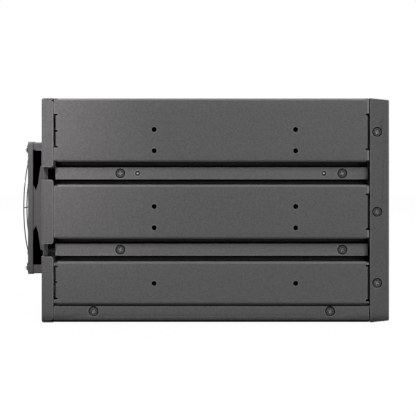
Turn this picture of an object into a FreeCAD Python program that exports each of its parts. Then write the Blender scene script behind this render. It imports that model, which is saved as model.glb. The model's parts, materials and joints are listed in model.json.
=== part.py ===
import FreeCAD, Part
import math
import os

# Hot swap cage that carries five 3.5 inch drives on edge in three 5.25 inch bays.
# Millimetres. +X is the front, +Z is up, and the origin is the middle of the underside.

Vector = FreeCAD.Vector

# Drives, from the standard for 3.5 inch drives. The case is built up round them, and comes out
# at 195 x 146.05 x 125.6, which fits three 5.25 inch bays.
tray_count = 5
drive_width = 101.6
drive_length = 147.0
drive_thickness = 26.1
drive_hole_rear = 28.5      # from the connector end of the drive
drive_hole_spacing = 101.6
drive_hole_side = 6.35      # above the drive's underside
drive_hole_radius = 1.8

# Case
sheet = 0.8                 # steel sheet of the shell and covers
bend = 0.7                  # inside radius of a fold
joint_gap = 0.3             # visible joint between two sheets
running_gap = 0.3           # between a moving piece and its neighbour
slip = 0.1                  # around a piece that slips into a hole when it is put together
slit = 0.9                  # relief slit beside a tab
base_flange = 9.35          # height of the bottom cover's side flange
base_joint = 0.7            # between that flange and the shell's lower edge
flange_corner = 1.2

# Bays, from the standard for 5.25 inch devices
bay_pitch = 43.1
groove_count = 2            # one at each line between two bays
bay_hole_spacing = 79.24
bay_hole_low = 9.91
bay_hole_high = 21.84
bay_hole_radius = 1.25      # tapped M3
bay_hole_front = 52.5       # from the bezel's front to the front column of holes

# Grooves in the sides and the strips that lie in them
groove_height = 12.6
groove_depth = 5.6
groove_drop = 2.7           # groove centre below its bay line
strip_height = 7.2
strip_thickness = 2.2
strip_inset = 0.35          # end of a strip to the end of the shell
strip_chamfer = 0.3
strip_screw_rear = 36.5     # from the strip's rear end
strip_screw_front = 14.3    # from its front end
strip_pin_rear = 46.2
strip_pin_front = 24.7
pin_radius = 0.65
pin_room = 0.75             # round a pin, in the strip
pin_sunk = 0.1              # below the strip's face

# Tabs that go behind the bezel and the rear cover
front_tab_margin = 2.5      # from a tab's slit to the edge of the lowest side panel
rear_tab_margin = 3.05
top_tab_drop = 1.0          # top front tab below the middle of its panel
rear_tab_shift = 0.4        # rear tabs towards the middle of the case
front_slit_length = 1.9     # from the edge of the shell's sheet
rear_slit_length = 2.2
front_tab_slot = 0.45       # the flat part of a tab stops this far from that edge
rear_tab_slot = 0.85
tab_lean = 70.0             # steepness of the step in a tab, in degrees
tab_radius = 0.15           # inside radius of that step
tab_neck = 1.2              # each side of the window in a step
front_tab_reach = 7.2       # past the edge of the shell's sheet
tab_slot_depth = 3.0        # clear depth of a notch that a tab is set into

# Countersunk M3 screws
screw_radius = 1.5
head_radius = 2.7
case_screw_length = 3.4
base_screw_rear = 22.2      # from the rear end of the bottom cover
base_screw_front = 22.1     # from its front end
base_screw_level = 6.2

# Front bezel
bezel_depth = 10.8
bezel_screw_in = 4.0        # from the bezel's back edge
bezel_wall = 1.0
bezel_face = 1.6
bezel_taper = 1.1           # fall of the top and bottom walls towards the front
bezel_edge = 0.9            # rounding of its front edges
bezel_lip = 3.4             # height of its frame above and below the trays

# Rear cover
rear_flange = 6.8
cover_corner = 1.6
flange_split = 0.4          # between a side flange and the top and bottom ones
notch_height = 7.1
notch_bridge = 2.8
cover_screw_side = 27.0     # from the side of the case

# Trays
drive_room = 0.4            # pitch of the trays, beyond a drive's thickness
tray_gap = 0.5              # between neighbours
side_gap = 0.375            # between the outer trays and the grooves
tray_recess = 0.55          # tray front behind the bezel front
front_depth = 21.5
front_wall = 1.4
sled_wall = 1.2
drive_slack = 0.2
sled_overhang = 0.6
arm_inset = 1.0             # sled inside the tray's front, each side
arm_lip = 2.2
key_width = 5.4
key_height = 5.1
key_lead = 2.5
guide_rib = 2.0
guide_floor = 4.4           # thickness of a guide plate
guide_end_gap = 1.7
lug_length = 10.0
lug_width = 3.0
lug_in = 20.0               # from the ends of a guide plate
front_chamfer = 0.5
vent_bars = 4
vent_bar = 2.0
vent_edge = 12.0

# Lever, its pin and cam claws
lever_thickness = 2.2
lever_barrel = 4.5
pin_diameter = 2.5
pin_running = 0.05
lever_setback = 0.2         # behind the tray's face
claw_width = 3.0
claw_reach = 6.1
claw_root = 2.7             # half the width of a claw where it leaves the barrel
claw_side = 3.7             # how far a claw's heel lies behind the pin
claw_heel = 4.9             # and below it
claw_room = 0.5             # clear width each side of a claw
lever_slots = 9
lever_slot_height = 4.6
lever_slot_edge = 3.4
lever_edge = 0.5            # rounding of the plate's front edges
grip_depth = 1.1            # sloped finger grip along the plate's top edge
grip_height = 3.2
lever_rib = 4.5
lever_rib_wall = 1.2
hook_width = 6.0
latch_height = 17.6         # fixed head of the tray front above the lever

# Release button and light pipes
button_width = 12.0
button_height = 8.0
button_slack = 0.4          # pocket round the button's collar
button_proud = 0.2
button_edge = 0.6
button_travel = 2.0
button_collar = 1.2
button_stem = 4.0
pipe_size = 2.0
pipe_gap = 0.6
pipe_shift = 0.1            # away from the guide rib

# Backplane
board_thickness = 1.6
board_gap = 6.0             # drive's connector end to the board
board_margin = 1.0
vent_width = 11.0           # slots in the board, between the connectors
vent_height = 26.0
vent_pitch = 31.0
vent_count = 3
vent_drop = 10.0            # middle of the slots below the middle of the case
connector_depth = 7.2
connector_width = 6.4
connector_height = 42.6
mouth_depth = 5.0
mouth_width = 3.2
mouth_height = 36.0
connector_low = 25.4        # lower end of a connector below the middle of the drive
socket_depth = 16.15        # from the board to the rear cover
data_width = 6.6
data_height = 16.6
data_pitch = 21.0
power_width = 11.0
power_height = 24.0
power_pitch = 36.0
power_count = 3
power_pins = 4
power_pin = 1.8
power_pin_pitch = 5.08
socket_in = 13.1            # middle of a socket from the board's side edge
connector_recess = 0.5      # rear end of a socket, inside the rear cover's face
tongue_recess = 1.0
tongue_end = 1.2            # gap at each end of a data socket's tongue
pin_recess = 1.5
connector_wall = 1.2
window_gap = 0.4
standoff_flats = 5.0
standoff_side = 4.2         # from the board's side edge
standoff_low = 7.2          # from its lower edge
standoff_high = 14.2        # from its upper edge
board_screw_head = 1.8
led_thickness = 1.0

# Fan and its guard
fan_size = 80.0
fan_depth = 15.0
fan_flange = 3.0
fan_hole_in = 4.25          # hole's middle from the sides of the frame
fan_hole_radius = 2.2
fan_rim = 2.0               # bore to the side of the frame
fan_duct_wall = 1.5
fan_corner = 1.5
fan_post = 4.85             # side of the corner posts between its two flanges
fan_side_in = 0.4           # posts and side walls inside the flanges' edges
pocket_tip = 10.5           # ends of a side wall, from the middle of the fan
pocket_back = 14.2
pocket_bend = 14.5
pocket_front = 25.1
pocket_end = 27.0
pocket_tip_in = 4.8         # and how far each of them is from the fan's back
pocket_bend_in = 6.0
pocket_front_in = 7.5
aperture_lip = 0.5          # rear cover's hole inside the fan's bore
hub_radius = 15.5
hub_wall = 1.5
hub_edge = 1.0
hub_set_back = 2.0
motor_plate = 2.5
motor_gap = 0.4
bearing_radius = 4.0
shaft_radius = 1.5
shaft_running = 0.05
stator_radius = 12.0
strut_width = 3.0
strut_count = 4
strut_turn = 20.0           # degrees from level
blade_count = 7
blade_gap = 0.8
root_chord = 10.5
root_pitch = 50.0           # degrees from the plane of rotation
root_thickness = 1.8
root_camber = 1.2
tip_chord = 16.0
tip_pitch = 27.0
tip_thickness = 1.1
tip_camber = 1.6
camber_end = 0.8            # share of the camber near a blade's trailing edge
guard_wire = 1.1
wire_sides = 8
cross_wire = 1.0
guard_ring_count = 4
guard_ring_pitch = 8.0
guard_stand_off = 3.2
guard_eye = 3.2             # radius of the wire eye round a screw
guard_screw_head = 2.6
guard_screw_height = 1.6

# Worked out from the sizes above
tray_pitch = drive_thickness + drive_room
tray_width = tray_pitch - tray_gap
tray_sides = [tray_pitch * (n - (tray_count - 1) / 2) for n in range(tray_count)]
inner_half = tray_pitch * tray_count / 2 + side_gap
groove_web = inner_half + sheet
half_width = groove_web + groove_depth
device_width = 2 * half_width
arm_inner = drive_width / 2 + drive_slack
arm_outer = arm_inner + sled_wall
key_top = arm_outer + key_height
mid_level = key_top + running_gap + guide_floor + sheet
body_height = 2 * mid_level
tray_depth = tray_recess + front_depth + sled_wall
body_length = tray_depth + drive_slack + drive_length + board_gap + board_thickness + socket_depth + sheet
rear_face = -body_length / 2
bezel_front = body_length / 2
bezel_back = bezel_front - bezel_depth
shell_front = bezel_back - joint_gap
shell_rear = rear_face + rear_flange + joint_gap
shell_low = base_flange + base_joint
groove_levels = [bay_pitch * (n + 1) - groove_drop for n in range(groove_count)]
tray_face = bezel_front - tray_recess
tray_back = tray_face - front_depth
front_half = mid_level - bezel_lip - running_gap
sled_front = tray_back - sled_wall
drive_front = sled_front - drive_slack
drive_rear = drive_front - drive_length
sled_rear = drive_rear - sled_overhang
arm_half = tray_width / 2 - arm_inset
board_front = drive_rear - board_gap
board_back = board_front - board_thickness
cover_inner = rear_face + sheet
guide_rear = sled_rear
guide_front = tray_back - guide_end_gap
front_hole_column = bezel_front - bay_hole_front
hole_columns = (front_hole_column - bay_hole_spacing, front_hole_column)
hole_rows = [bay_hole_high]
for bay_line in range(1, groove_count + 1):
    hole_rows.append(bay_line * bay_pitch + bay_hole_low)
    hole_rows.append(bay_line * bay_pitch + bay_hole_high)
bezel_screw_column = bezel_back + bezel_screw_in
rear_screw_column = rear_face + rear_flange / 2
cover_screw_spread = device_width - 2 * cover_screw_side
lever_pin_x = tray_face - lever_barrel - lever_setback
lever_pin_z = mid_level - front_half + front_wall + running_gap + lever_barrel
latch_level = mid_level + front_half - latch_height
rear_tab_reach = rear_flange + joint_gap - sheet - bend - slip
board_half = inner_half - board_margin
board_levels = (sheet + board_margin, body_height - sheet - board_margin)
socket_side = board_half - socket_in
fan_front = rear_face
fan_back = fan_front - fan_depth
fan_bore = fan_size / 2 - fan_rim
fan_hole_spacing = fan_size - 2 * fan_hole_in
fan_aperture = fan_bore - aperture_lip
guard_rings = [fan_bore - guard_ring_pitch * n for n in range(guard_ring_count)]

# Side panels, from the base up, and the tabs at their ends
panel_edges = [shell_low]
for groove_level in groove_levels:
    panel_edges += [groove_level - groove_height / 2, groove_level + groove_height / 2]
panel_edges.append(body_height)
panels = list(zip(panel_edges[::2], panel_edges[1::2]))
panel_middles = [(low + high) / 2 for low, high in panels]
lowest_panel = panels[0][1] - panels[0][0]
front_tab_height = lowest_panel - 2 * front_tab_margin
rear_tab_height = lowest_panel / 2 - rear_tab_margin
front_tab_levels = panel_middles[:-1] + [panel_middles[-1] - top_tab_drop]
rear_tab_levels = (panel_middles[0] + rear_tab_shift, panel_middles[-1] - rear_tab_shift)
cover_tab_width = 2 * rear_tab_height


def span(centre, size):
    return (centre - size / 2, centre + size / 2)


def block(x_range, y_range, z_range):
    ranges = (x_range, y_range, z_range)
    low = Vector(*[min(ends) for ends in ranges])
    size = [max(ends) - min(ends) for ends in ranges]
    return Part.makeBox(size[0], size[1], size[2], low)


def rod(radius, start, end):
    start = Vector(*start)
    axis = Vector(*end) - start
    return Part.makeCylinder(radius, axis.Length, start, axis)


def mirrored(shape):
    return shape.mirror(Vector(0, 0, 0), Vector(0, 1, 0))


def moved(shape, x=0.0, y=0.0, z=0.0):
    copy = shape.copy()
    copy.translate(Vector(x, y, z))
    return copy


def turned_about_x(shape, degrees, level):
    copy = shape.copy()
    copy.rotate(Vector(0, 0, level), Vector(1, 0, 0), degrees)
    return copy


def fused(shapes):
    return shapes[0].multiFuse(shapes[1:]).removeSplitter()


def outline(points):
    corners = [Vector(u, v, 0) for u, v in points]
    return Part.Face(Part.makePolygon(corners + corners[:1]))


# A face drawn in (y, z) is extruded along X, and one drawn in (x, z) along Y.
def along_x(face, x_range):
    solid = face.extrude(Vector(0, 0, max(x_range) - min(x_range)))
    turn = FreeCAD.Rotation(Vector(0, 1, 0), Vector(0, 0, 1), Vector(1, 0, 0))
    solid.Placement = FreeCAD.Placement(Vector(min(x_range), 0, 0), turn)
    return solid


def along_y(face, y_range):
    solid = face.extrude(Vector(0, 0, max(y_range) - min(y_range)))
    turn = FreeCAD.Rotation(Vector(1, 0, 0), Vector(0, 0, 1), Vector(0, -1, 0))
    solid.Placement = FreeCAD.Placement(Vector(0, max(y_range), 0), turn)
    return solid


def along_z(face, z_range):
    solid = face.extrude(Vector(0, 0, max(z_range) - min(z_range)))
    return moved(solid, z=min(z_range))


# Folded sheet: the path is its outer line, and the thickness lies to the right of it.
def path_edges(points, radii):
    edges = []
    start = points[0]
    for before, corner, after, radius in zip(points, points[1:], points[2:], radii):
        arm_in = (before - corner).normalize()
        arm_out = (after - corner).normalize()
        half = arm_in.getAngle(arm_out) / 2
        reach = radius / math.tan(half)
        middle = (arm_in + arm_out).normalize() * (radius / math.sin(half) - radius)
        entry = corner + arm_in * reach
        leave = corner + arm_out * reach
        edges.append(Part.makeLine(start, entry))
        edges.append(Part.Arc(entry, corner + middle, leave).toShape())
        start = leave
    edges.append(Part.makeLine(start, points[-1]))
    return edges


def folded_sheet(path, thickness, inside=bend):
    points = [Vector(u, v, 0) for u, v in path]
    normals = []
    for a, b in zip(points, points[1:]):
        step = (b - a).normalize()
        normals.append(Vector(step.y, -step.x, 0))
    far = [points[0] + normals[0] * thickness]
    near_radii = []
    for corner, first, second in zip(points[1:-1], normals, normals[1:]):
        far.append(corner + (first + second) * (thickness / (1 + first.dot(second))))
        opens = first.cross(second).z > 0
        near_radii.append(inside if opens else inside + thickness)
    far.append(points[-1] + normals[-1] * thickness)
    far_radii = [2 * inside + thickness - radius for radius in near_radii]
    edges = path_edges(points, near_radii)
    edges.append(Part.makeLine(points[-1], far[-1]))
    edges += path_edges(far[::-1], far_radii[::-1])
    edges.append(Part.makeLine(far[0], points[0]))
    return Part.Face(Part.Wire(edges))


# Countersunk screw with its head flush at the point, and the tool that cuts its hole.
def countersunk(point, direction, length, allowance=0.0):
    point = Vector(*point)
    direction = Vector(*direction)
    head = head_radius + allowance
    shank = screw_radius + allowance
    cone = Part.makeCone(head, shank, head - shank, point, direction)
    stem = Part.makeCylinder(shank, length - (head - shank), point + direction * (head - shank), direction)
    return cone.fuse(stem)


# Screws set into both sides of the case, as (x, z) places at one depth below the side face.
def side_screws(places, depth, length, allowance=0.0):
    screws = []
    for x, z in places:
        left = countersunk((x, depth - half_width, z), (0, 1, 0), length, allowance)
        screws += [left, mirrored(left)]
    return screws


def strip_screw_places():
    rear, front = shell_rear + strip_inset, shell_front - strip_inset
    columns = (rear + strip_screw_rear, front - strip_screw_front)
    return [(x, z) for z in groove_levels for x in columns]


def strip_pin_places():
    rear, front = shell_rear + strip_inset, shell_front - strip_inset
    return [(x, groove_levels[-1]) for x in (rear + strip_pin_rear, front - strip_pin_front)]


def base_screw_places():
    columns = (shell_rear + base_screw_rear, shell_front - base_screw_front)
    return [(x, base_screw_level) for x in columns]


def bezel_screw_places():
    return [(bezel_screw_column, z) for z in front_tab_levels]


strip_face = groove_depth - strip_thickness


def strip_screws(allowance=0.0):
    return side_screws(strip_screw_places(), strip_face, strip_thickness + sheet, allowance)


def base_screws(allowance=0.0):
    return side_screws(base_screw_places(), 0.0, case_screw_length, allowance)


def bezel_screws(allowance=0.0):
    return side_screws(bezel_screw_places(), 0.0, case_screw_length, allowance)


def rear_cover_screws(allowance=0.0):
    screws = []
    for y in span(0.0, cover_screw_spread):
        top = (rear_screw_column, y, body_height)
        base = (rear_screw_column, y, 0.0)
        screws.append(countersunk(top, (0, 0, -1), case_screw_length, allowance))
        screws.append(countersunk(base, (0, 0, 1), case_screw_length, allowance))
    return screws


# Pins pressed into the shell, and the wider holes that they stand in.
def locating_pins(radius=pin_radius, sunk=pin_sunk):
    pins = []
    outer = strip_face - half_width
    inner = outer + strip_thickness + sheet
    for x, z in strip_pin_places():
        pin = rod(radius, (x, outer + sunk, z), (x, inner, z))
        pins += [pin, mirrored(pin)]
    return pins


# Tab at an edge of the shell's sheet, stepped in behind the cover that it carries.
# It is drawn on the left side, with its outer face in the plane of the side, and a window
# in its step leaves a neck at each end.
def stepped_tab(edge, way, step, height):
    if way > 0:
        reach, slot, length = front_tab_reach, front_tab_slot, front_slit_length
    else:
        reach, slot, length = rear_tab_reach, rear_tab_slot, rear_slit_length
    foot = edge - way * (slot - step / math.tan(math.radians(tab_lean)))
    path = [
        (edge - way * length, 0.0),
        (edge - way * slot, 0.0),
        (foot, step),
        (edge + way * reach, step),
    ]
    if way > 0:
        path = path[::-1]
    tab = along_z(folded_sheet(path, sheet, tab_radius), span(0.0, height))
    window = block((foot + way * tab_radius, edge + way * joint_gap), (0.0, tab_slot_depth),
                   span(0.0, height - 2 * tab_neck))
    return tab.cut(window)


def tab_notch(edge, way, height):
    length = front_slit_length if way > 0 else rear_slit_length
    return block((edge - way * length, edge + way), (-tab_slot_depth, tab_slot_depth), span(0.0, height))


# What rounds off the corner of a side flange, in both sides of the case: it lies at (x, z), and
# the two ways point along its edges.
def corner_cut(x, x_way, z, z_way, radius):
    reach = half_width + 1
    square = block((x, x + x_way * radius), (-reach, reach), (z, z + z_way * radius))
    middle = (x + x_way * radius, z + z_way * radius)
    return square.cut(rod(radius, (middle[0], -reach - 1, middle[1]), (middle[0], reach + 1, middle[1])))


def tab_places():
    places = []
    for level in front_tab_levels:
        places.append((shell_front, 1, bezel_wall, level, front_tab_height - slit))
    for level in rear_tab_levels:
        for side in (-1, 1):
            height = rear_tab_height - slit
            places.append((shell_rear, -1, sheet, level + side * rear_tab_height / 2, height))
    return places


def housing_shell():
    side = [
        (sheet - half_width, sheet + 2 * bend),
        (sheet - half_width, shell_low),
        (-half_width, shell_low + sheet),
    ]
    for level in groove_levels:
        low, high = span(level, groove_height)
        side += [(-half_width, low), (-groove_web, low), (-groove_web, high), (-half_width, high)]
    side.append((-half_width, body_height))
    path = side + [(-y, z) for y, z in reversed(side)]
    shell = along_x(folded_sheet(path, sheet), (shell_rear, shell_front))
    cuts = []
    tabs = []
    for edge, way, step, level, height in tab_places():
        notch = moved(tab_notch(edge, way, height + 2 * slit), y=-half_width, z=level)
        tab = moved(stepped_tab(edge, way, step, height), y=-half_width, z=level)
        cuts += [notch, mirrored(notch)]
        tabs += [tab, mirrored(tab)]
    for y in span(0.0, cover_screw_spread):
        notch = turned_about_x(tab_notch(shell_rear, -1, cover_tab_width), -90, 0)
        tab = turned_about_x(stepped_tab(shell_rear, -1, sheet, cover_tab_width - 2 * slit), -90, 0)
        cuts.append(moved(notch, y=y, z=body_height))
        tabs.append(moved(tab, y=y, z=body_height))
    for x in hole_columns:
        for z in hole_rows:
            hole = rod(bay_hole_radius, (x, -half_width - 1, z), (x, -half_width + 2 * sheet, z))
            cuts += [hole, mirrored(hole)]
    shell = fused([shell.cut(cuts)] + tabs)
    shell = shell.cut(guide_lugs(1, slip))
    return shell.cut(strip_screws() + base_screws() + bezel_screws() + rear_cover_screws() + locating_pins())


def bottom_cover():
    path = [(half_width, base_flange), (half_width, 0), (-half_width, 0), (-half_width, base_flange)]
    cover = along_x(folded_sheet(path, sheet), (shell_rear, shell_front))
    cuts = [
        corner_cut(shell_rear, 1, base_flange, -1, flange_corner),
        corner_cut(shell_front, -1, base_flange, -1, flange_corner),
    ]
    tabs = []
    for y in span(0.0, cover_screw_spread):
        notch = turned_about_x(tab_notch(shell_rear, -1, cover_tab_width), 90, 0)
        tab = turned_about_x(stepped_tab(shell_rear, -1, sheet, cover_tab_width - 2 * slit), 90, 0)
        cuts.append(moved(notch, y=y))
        tabs.append(moved(tab, y=y))
    cover = fused([cover.cut(cuts)] + tabs)
    return cover.cut(guide_lugs(-1, slip) + base_screws() + rear_cover_screws())


def side_strip(level, side):
    ends = (shell_rear + strip_inset, shell_front - strip_inset)
    depth = (-groove_web, strip_face - half_width)
    strip = block(ends, depth, span(level, strip_height))
    strip = strip.makeChamfer(strip_chamfer, [e for e in strip.Edges if e.BoundBox.YMax < depth[1] + 0.01
                                              and e.BoundBox.XLength > strip_height])
    if side > 0:
        strip = mirrored(strip)
    return strip.cut(strip_screws() + locating_pins(pin_radius + pin_room, 0.0))


# Bezel: a tray with sloping top and bottom walls, and one window for the five tray fronts.
def bezel_block(inset, front):
    depth = bezel_depth
    back = inset
    rise = inset + bezel_taper
    face = outline([
        (bezel_back, back),
        (bezel_back + depth - front, rise),
        (bezel_back + depth - front, body_height - rise),
        (bezel_back, body_height - back),
    ])
    return along_y(face, span(0.0, device_width - 2 * inset))


def front_bezel():
    outer = bezel_block(0.0, 0.0)
    edges = [e for e in outer.Edges if e.BoundBox.XMin > bezel_front - 0.01]
    outer = outer.makeFillet(bezel_edge, edges)
    hollow = bezel_block(bezel_wall, bezel_face)
    window_half = (tray_pitch * tray_count - tray_gap) / 2 + running_gap
    window = block((bezel_back, bezel_front + 1), (-window_half, window_half),
                   (bezel_lip, body_height - bezel_lip))
    return outer.cut([hollow, window] + bezel_screws())


# Rear cover: a shallow pan with split corners and a bridge across each groove.
def fan_screw_places():
    offset = fan_hole_spacing / 2
    return [(y, mid_level + z) for y in (-offset, offset) for z in (-offset, offset)]


def rear_cover():
    front = rear_face + rear_flange
    outer = block((rear_face, front), (-half_width, half_width), (0, body_height))
    back_edges = [e for e in outer.Edges if e.BoundBox.XMax < rear_face + 0.01]
    outer = outer.makeFillet(bend + sheet, back_edges)
    inner = block((cover_inner, front + 1), (sheet - half_width, half_width - sheet),
                  (sheet, body_height - sheet))
    inner_edges = [e for e in inner.Edges if e.BoundBox.XMax < cover_inner + 0.01]
    inner = inner.makeFillet(bend, inner_edges)
    pan = outer.cut(inner)
    cuts = []
    bridges = []
    side_low, side_high = sheet + flange_split, body_height - sheet - flange_split
    for side in (-1, 1):
        flange = side * half_width
        for split in ((sheet, side_low), (side_high, body_height - sheet)):
            cuts.append(block((cover_inner + bend, front), (flange + side, flange - side * sheet), split))
        for level in groove_levels:
            depth = flange - side * (groove_depth - sheet)
            cuts.append(block((rear_face - 1, front), (flange + side, depth), span(level, notch_height)))
            bridges.append(block((rear_face, rear_face + notch_bridge), (depth, depth - side * sheet),
                                 span(level, notch_height)))
    corners = [(side_low, 1), (side_high, -1)]
    for level in groove_levels:
        low, high = span(level, notch_height)
        corners += [(low, -1), (high, 1)]
    cuts += [corner_cut(front, -1, level, way, cover_corner) for level, way in corners]
    for y, z in fan_screw_places():
        cuts.append(rod(fan_hole_radius, (fan_front - 1, y, z), (front, y, z)))
    cuts.append(rod(fan_aperture, (fan_front - 1, 0, mid_level), (front, 0, mid_level)))
    for y, z, width, height in rear_connector_places():
        cuts.append(block((rear_face - 1, front), span(y, width + 2 * window_gap),
                          span(z, height + 2 * window_gap)))
    return fused([pan.cut(cuts)] + bridges).cut(rear_cover_screws())


# Guide plates: each tray's key runs between two ribs, and lugs hold the plate in its sheet.
def guide_lugs(side, allowance=0.0):
    length = lug_length + 2 * allowance
    width = lug_width + 2 * allowance
    lugs = []
    for x in (guide_rear + lug_in, guide_front - lug_in):
        for y in (tray_sides[0], tray_sides[-1]):
            lugs.append(block(span(x, length), span(y, width),
                              (mid_level + side * (mid_level - sheet), mid_level + side * mid_level)))
    return lugs


def guide_plate(side):
    base = mid_level - sheet
    floor = base - guide_floor
    width = tray_pitch * tray_count
    x_range = (guide_rear, guide_front)
    pieces = [block(x_range, span(0.0, width), (mid_level + side * floor, mid_level + side * base))]
    rib_top = arm_outer + running_gap
    for centre in tray_sides:
        for way in (-1, 1):
            rib_side = centre + way * (key_width / 2 + running_gap + guide_rib / 2)
            pieces.append(block(x_range, span(rib_side, guide_rib),
                                (mid_level + side * rib_top, mid_level + side * floor)))
    return fused(pieces + guide_lugs(side))


# Tray: a sled of two arms joined at the front, with a key on the outside of each arm.
def arm_profile(side):
    half = [
        (arm_half, arm_inner),
        (arm_half, arm_outer + arm_lip),
        (arm_half - sled_wall, arm_outer + arm_lip),
        (arm_half - sled_wall, arm_outer),
        (key_width / 2, arm_outer),
        (key_width / 2, key_top),
    ]
    points = half + [(-y, z) for y, z in reversed(half)]
    return outline([(y, mid_level + side * z) for y, z in points])


def drive_hole_columns():
    rear = drive_rear + drive_hole_rear
    return (rear, rear + drive_hole_spacing)


def sled():
    pieces = []
    for side in (-1, 1):
        arm = along_x(arm_profile(side), (sled_rear, sled_front + sled_wall))
        tip = mid_level + side * key_top
        ends = [e for e in arm.Edges if e.BoundBox.XMax < sled_rear + 0.01
                and e.BoundBox.ZLength < 0.01 and abs(e.BoundBox.ZMin - tip) < 0.01]
        pieces.append(arm.makeChamfer(key_lead, ends))
    wall = block((sled_front, sled_front + sled_wall), (-arm_half, arm_half), span(mid_level, 2 * arm_outer))
    body = fused(pieces + [wall])
    hole_side = drive_hole_side - drive_thickness / 2
    holes = []
    for x in drive_hole_columns():
        for side in (-1, 1):
            start = mid_level + side * (arm_inner - 1)
            end = mid_level + side * (key_top + 1)
            holes.append(rod(drive_hole_radius, (x, hole_side, start), (x, hole_side, end)))
    return body.cut(holes + tray_vents(sled_front - 1, sled_front + sled_wall + 1))


# Vent openings between the cross bars of the tray's front walls.
def tray_vents(x_start, x_end):
    low = lever_pin_z + lever_barrel + vent_bar
    high = latch_level - vent_bar
    opening = (high - low - (vent_bars - 1) * vent_bar) / vent_bars
    width = 2 * arm_half - vent_edge
    vents = []
    for number in range(vent_bars):
        bottom = low + number * (opening + vent_bar)
        vents.append(block((x_start, x_end), span(0.0, width), (bottom, bottom + opening)))
    return vents


def pipe_sides():
    middle = (key_width / 2 + running_gap + guide_rib + arm_half - sled_wall) / 2 + pipe_shift
    return [middle + way * (pipe_size + pipe_gap) / 2 for way in (-1, 1)]


def pipe_level():
    return mid_level + arm_outer + pipe_size / 2


def pipe_rods(x_range):
    return [block(x_range, span(y, pipe_size), span(pipe_level(), pipe_size)) for y in pipe_sides()]


def light_pipes():
    return pipe_rods((board_front + led_thickness + running_gap, tray_face))


def button_level():
    return latch_level + front_wall + button_slack + button_height / 2


def tray_front():
    body = block((tray_back, tray_face), span(0.0, tray_width), span(mid_level, 2 * front_half))
    edges = [e for e in body.Edges if e.BoundBox.XMin > tray_face - 0.01]
    body = body.makeChamfer(front_chamfer, edges)
    inner_width = tray_width - 2 * front_wall
    cavity_floor = mid_level - front_half + front_wall
    wall_front = tray_back + front_wall
    cavity = block((wall_front, tray_face + 1), span(0.0, inner_width), (cavity_floor, latch_level))
    pocket_width = button_width + 2 * (button_collar + button_slack)
    pocket = block((wall_front, tray_face - front_wall), span(0.0, pocket_width),
                   span(button_level(), button_height + 2 * button_slack))
    button_hole = block((tray_face - 2 * front_wall, tray_face + 1), span(0.0, button_width + button_slack),
                        span(button_level(), button_height + button_slack))
    claw_slots = []
    for side in claw_sides():
        claw_slots.append(block((lever_pin_x - claw_reach - 1, lever_pin_x + claw_reach / 2),
                                span(side, claw_width + 2 * claw_room),
                                (cavity_floor - front_wall - 1, cavity_floor)))
    cuts = [cavity, pocket, button_hole] + claw_slots + pipe_rods((tray_back - 1, tray_face + 1))
    cuts += tray_vents(tray_back - 1, wall_front + 1)
    cuts.append(hinge_pin())
    return body.cut(cuts)


def hinge_pin():
    half = tray_width / 2
    return rod(pin_diameter / 2, (lever_pin_x, -half, lever_pin_z), (lever_pin_x, half, lever_pin_z))


def lever_width():
    return tray_width - 2 * front_wall - 2 * running_gap


def claw_sides():
    offset = lever_width() / 2 - claw_width
    return (-offset, offset)


def lever():
    width = lever_width()
    front = lever_pin_x + lever_barrel
    top = latch_level - running_gap
    plate = block((front - lever_thickness, front), span(0.0, width), (lever_pin_z, top))
    plate = plate.makeFillet(lever_edge, [e for e in plate.Edges if e.BoundBox.XMin > front - 0.01
                                          and e.BoundBox.ZLength > width])
    grip = outline([
        (front + 1, top + 1),
        (front - grip_depth, top + 1),
        (front - grip_depth, top),
        (front, top - grip_height),
        (front + 1, top - grip_height),
    ])
    plate = plate.cut(along_y(grip, span(0.0, width + 1)))
    barrel_ends = [(lever_pin_x, side * width / 2, lever_pin_z) for side in (-1, 1)]
    pieces = [plate, rod(lever_barrel, *barrel_ends)]
    rib_front = front - lever_thickness
    for side in (-1, 1):
        edge = side * width / 2
        pieces.append(block((rib_front - lever_rib, rib_front), (edge, edge - side * lever_rib_wall),
                            (lever_pin_z, top - lever_rib)))
    for side in claw_sides():
        claw = outline([
            (lever_pin_x + claw_root, lever_pin_z),
            (lever_pin_x - claw_root, lever_pin_z),
            (lever_pin_x - claw_side, lever_pin_z - claw_heel),
            (lever_pin_x, lever_pin_z - claw_reach),
        ])
        pieces.append(along_y(claw, span(side, claw_width)))
    hook = outline([
        (rib_front, top),
        (rib_front - lever_rib, top),
        (rib_front - lever_rib, top - lever_rib / 2),
        (rib_front, top - lever_rib),
    ])
    pieces.append(along_y(hook, span(0.0, hook_width)))
    body = fused(pieces)
    slot_zone = (lever_pin_z + lever_barrel, top - 2 * lever_rib)
    step = (slot_zone[1] - slot_zone[0]) / lever_slots
    half = lever_slot_height / 2
    slot_reach = width / 2 - lever_slot_edge - half
    cuts = []
    for number in range(lever_slots):
        level = slot_zone[0] + (number + 0.5) * step
        opening = span(level, lever_slot_height)
        cuts.append(block((rib_front - 1, front + 1), (-slot_reach, slot_reach), opening))
        for side in (-slot_reach, slot_reach):
            cuts.append(rod(half, (rib_front - 1, side, level), (front + 1, side, level)))
    cuts.append(rod(pin_diameter / 2 + pin_running, (lever_pin_x, -width, lever_pin_z),
                    (lever_pin_x, width, lever_pin_z)))
    return body.cut(cuts)


def release_button():
    level = button_level()
    collar_front = tray_face - front_wall - running_gap
    cap = block((collar_front - front_wall, tray_face + button_proud), span(0.0, button_width),
                span(level, button_height))
    rim = [e for e in cap.Edges if e.BoundBox.XMin > tray_face + button_proud - 0.01]
    cap = cap.makeFillet(button_edge, rim)
    collar = block((collar_front - front_wall, collar_front), span(0.0, button_width + 2 * button_collar),
                   span(level, button_height))
    stem_rear = tray_back + front_wall + button_travel + running_gap
    stem = block((stem_rear, collar_front), span(0.0, button_stem), span(level, button_stem))
    return fused([cap, collar, stem])


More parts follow.
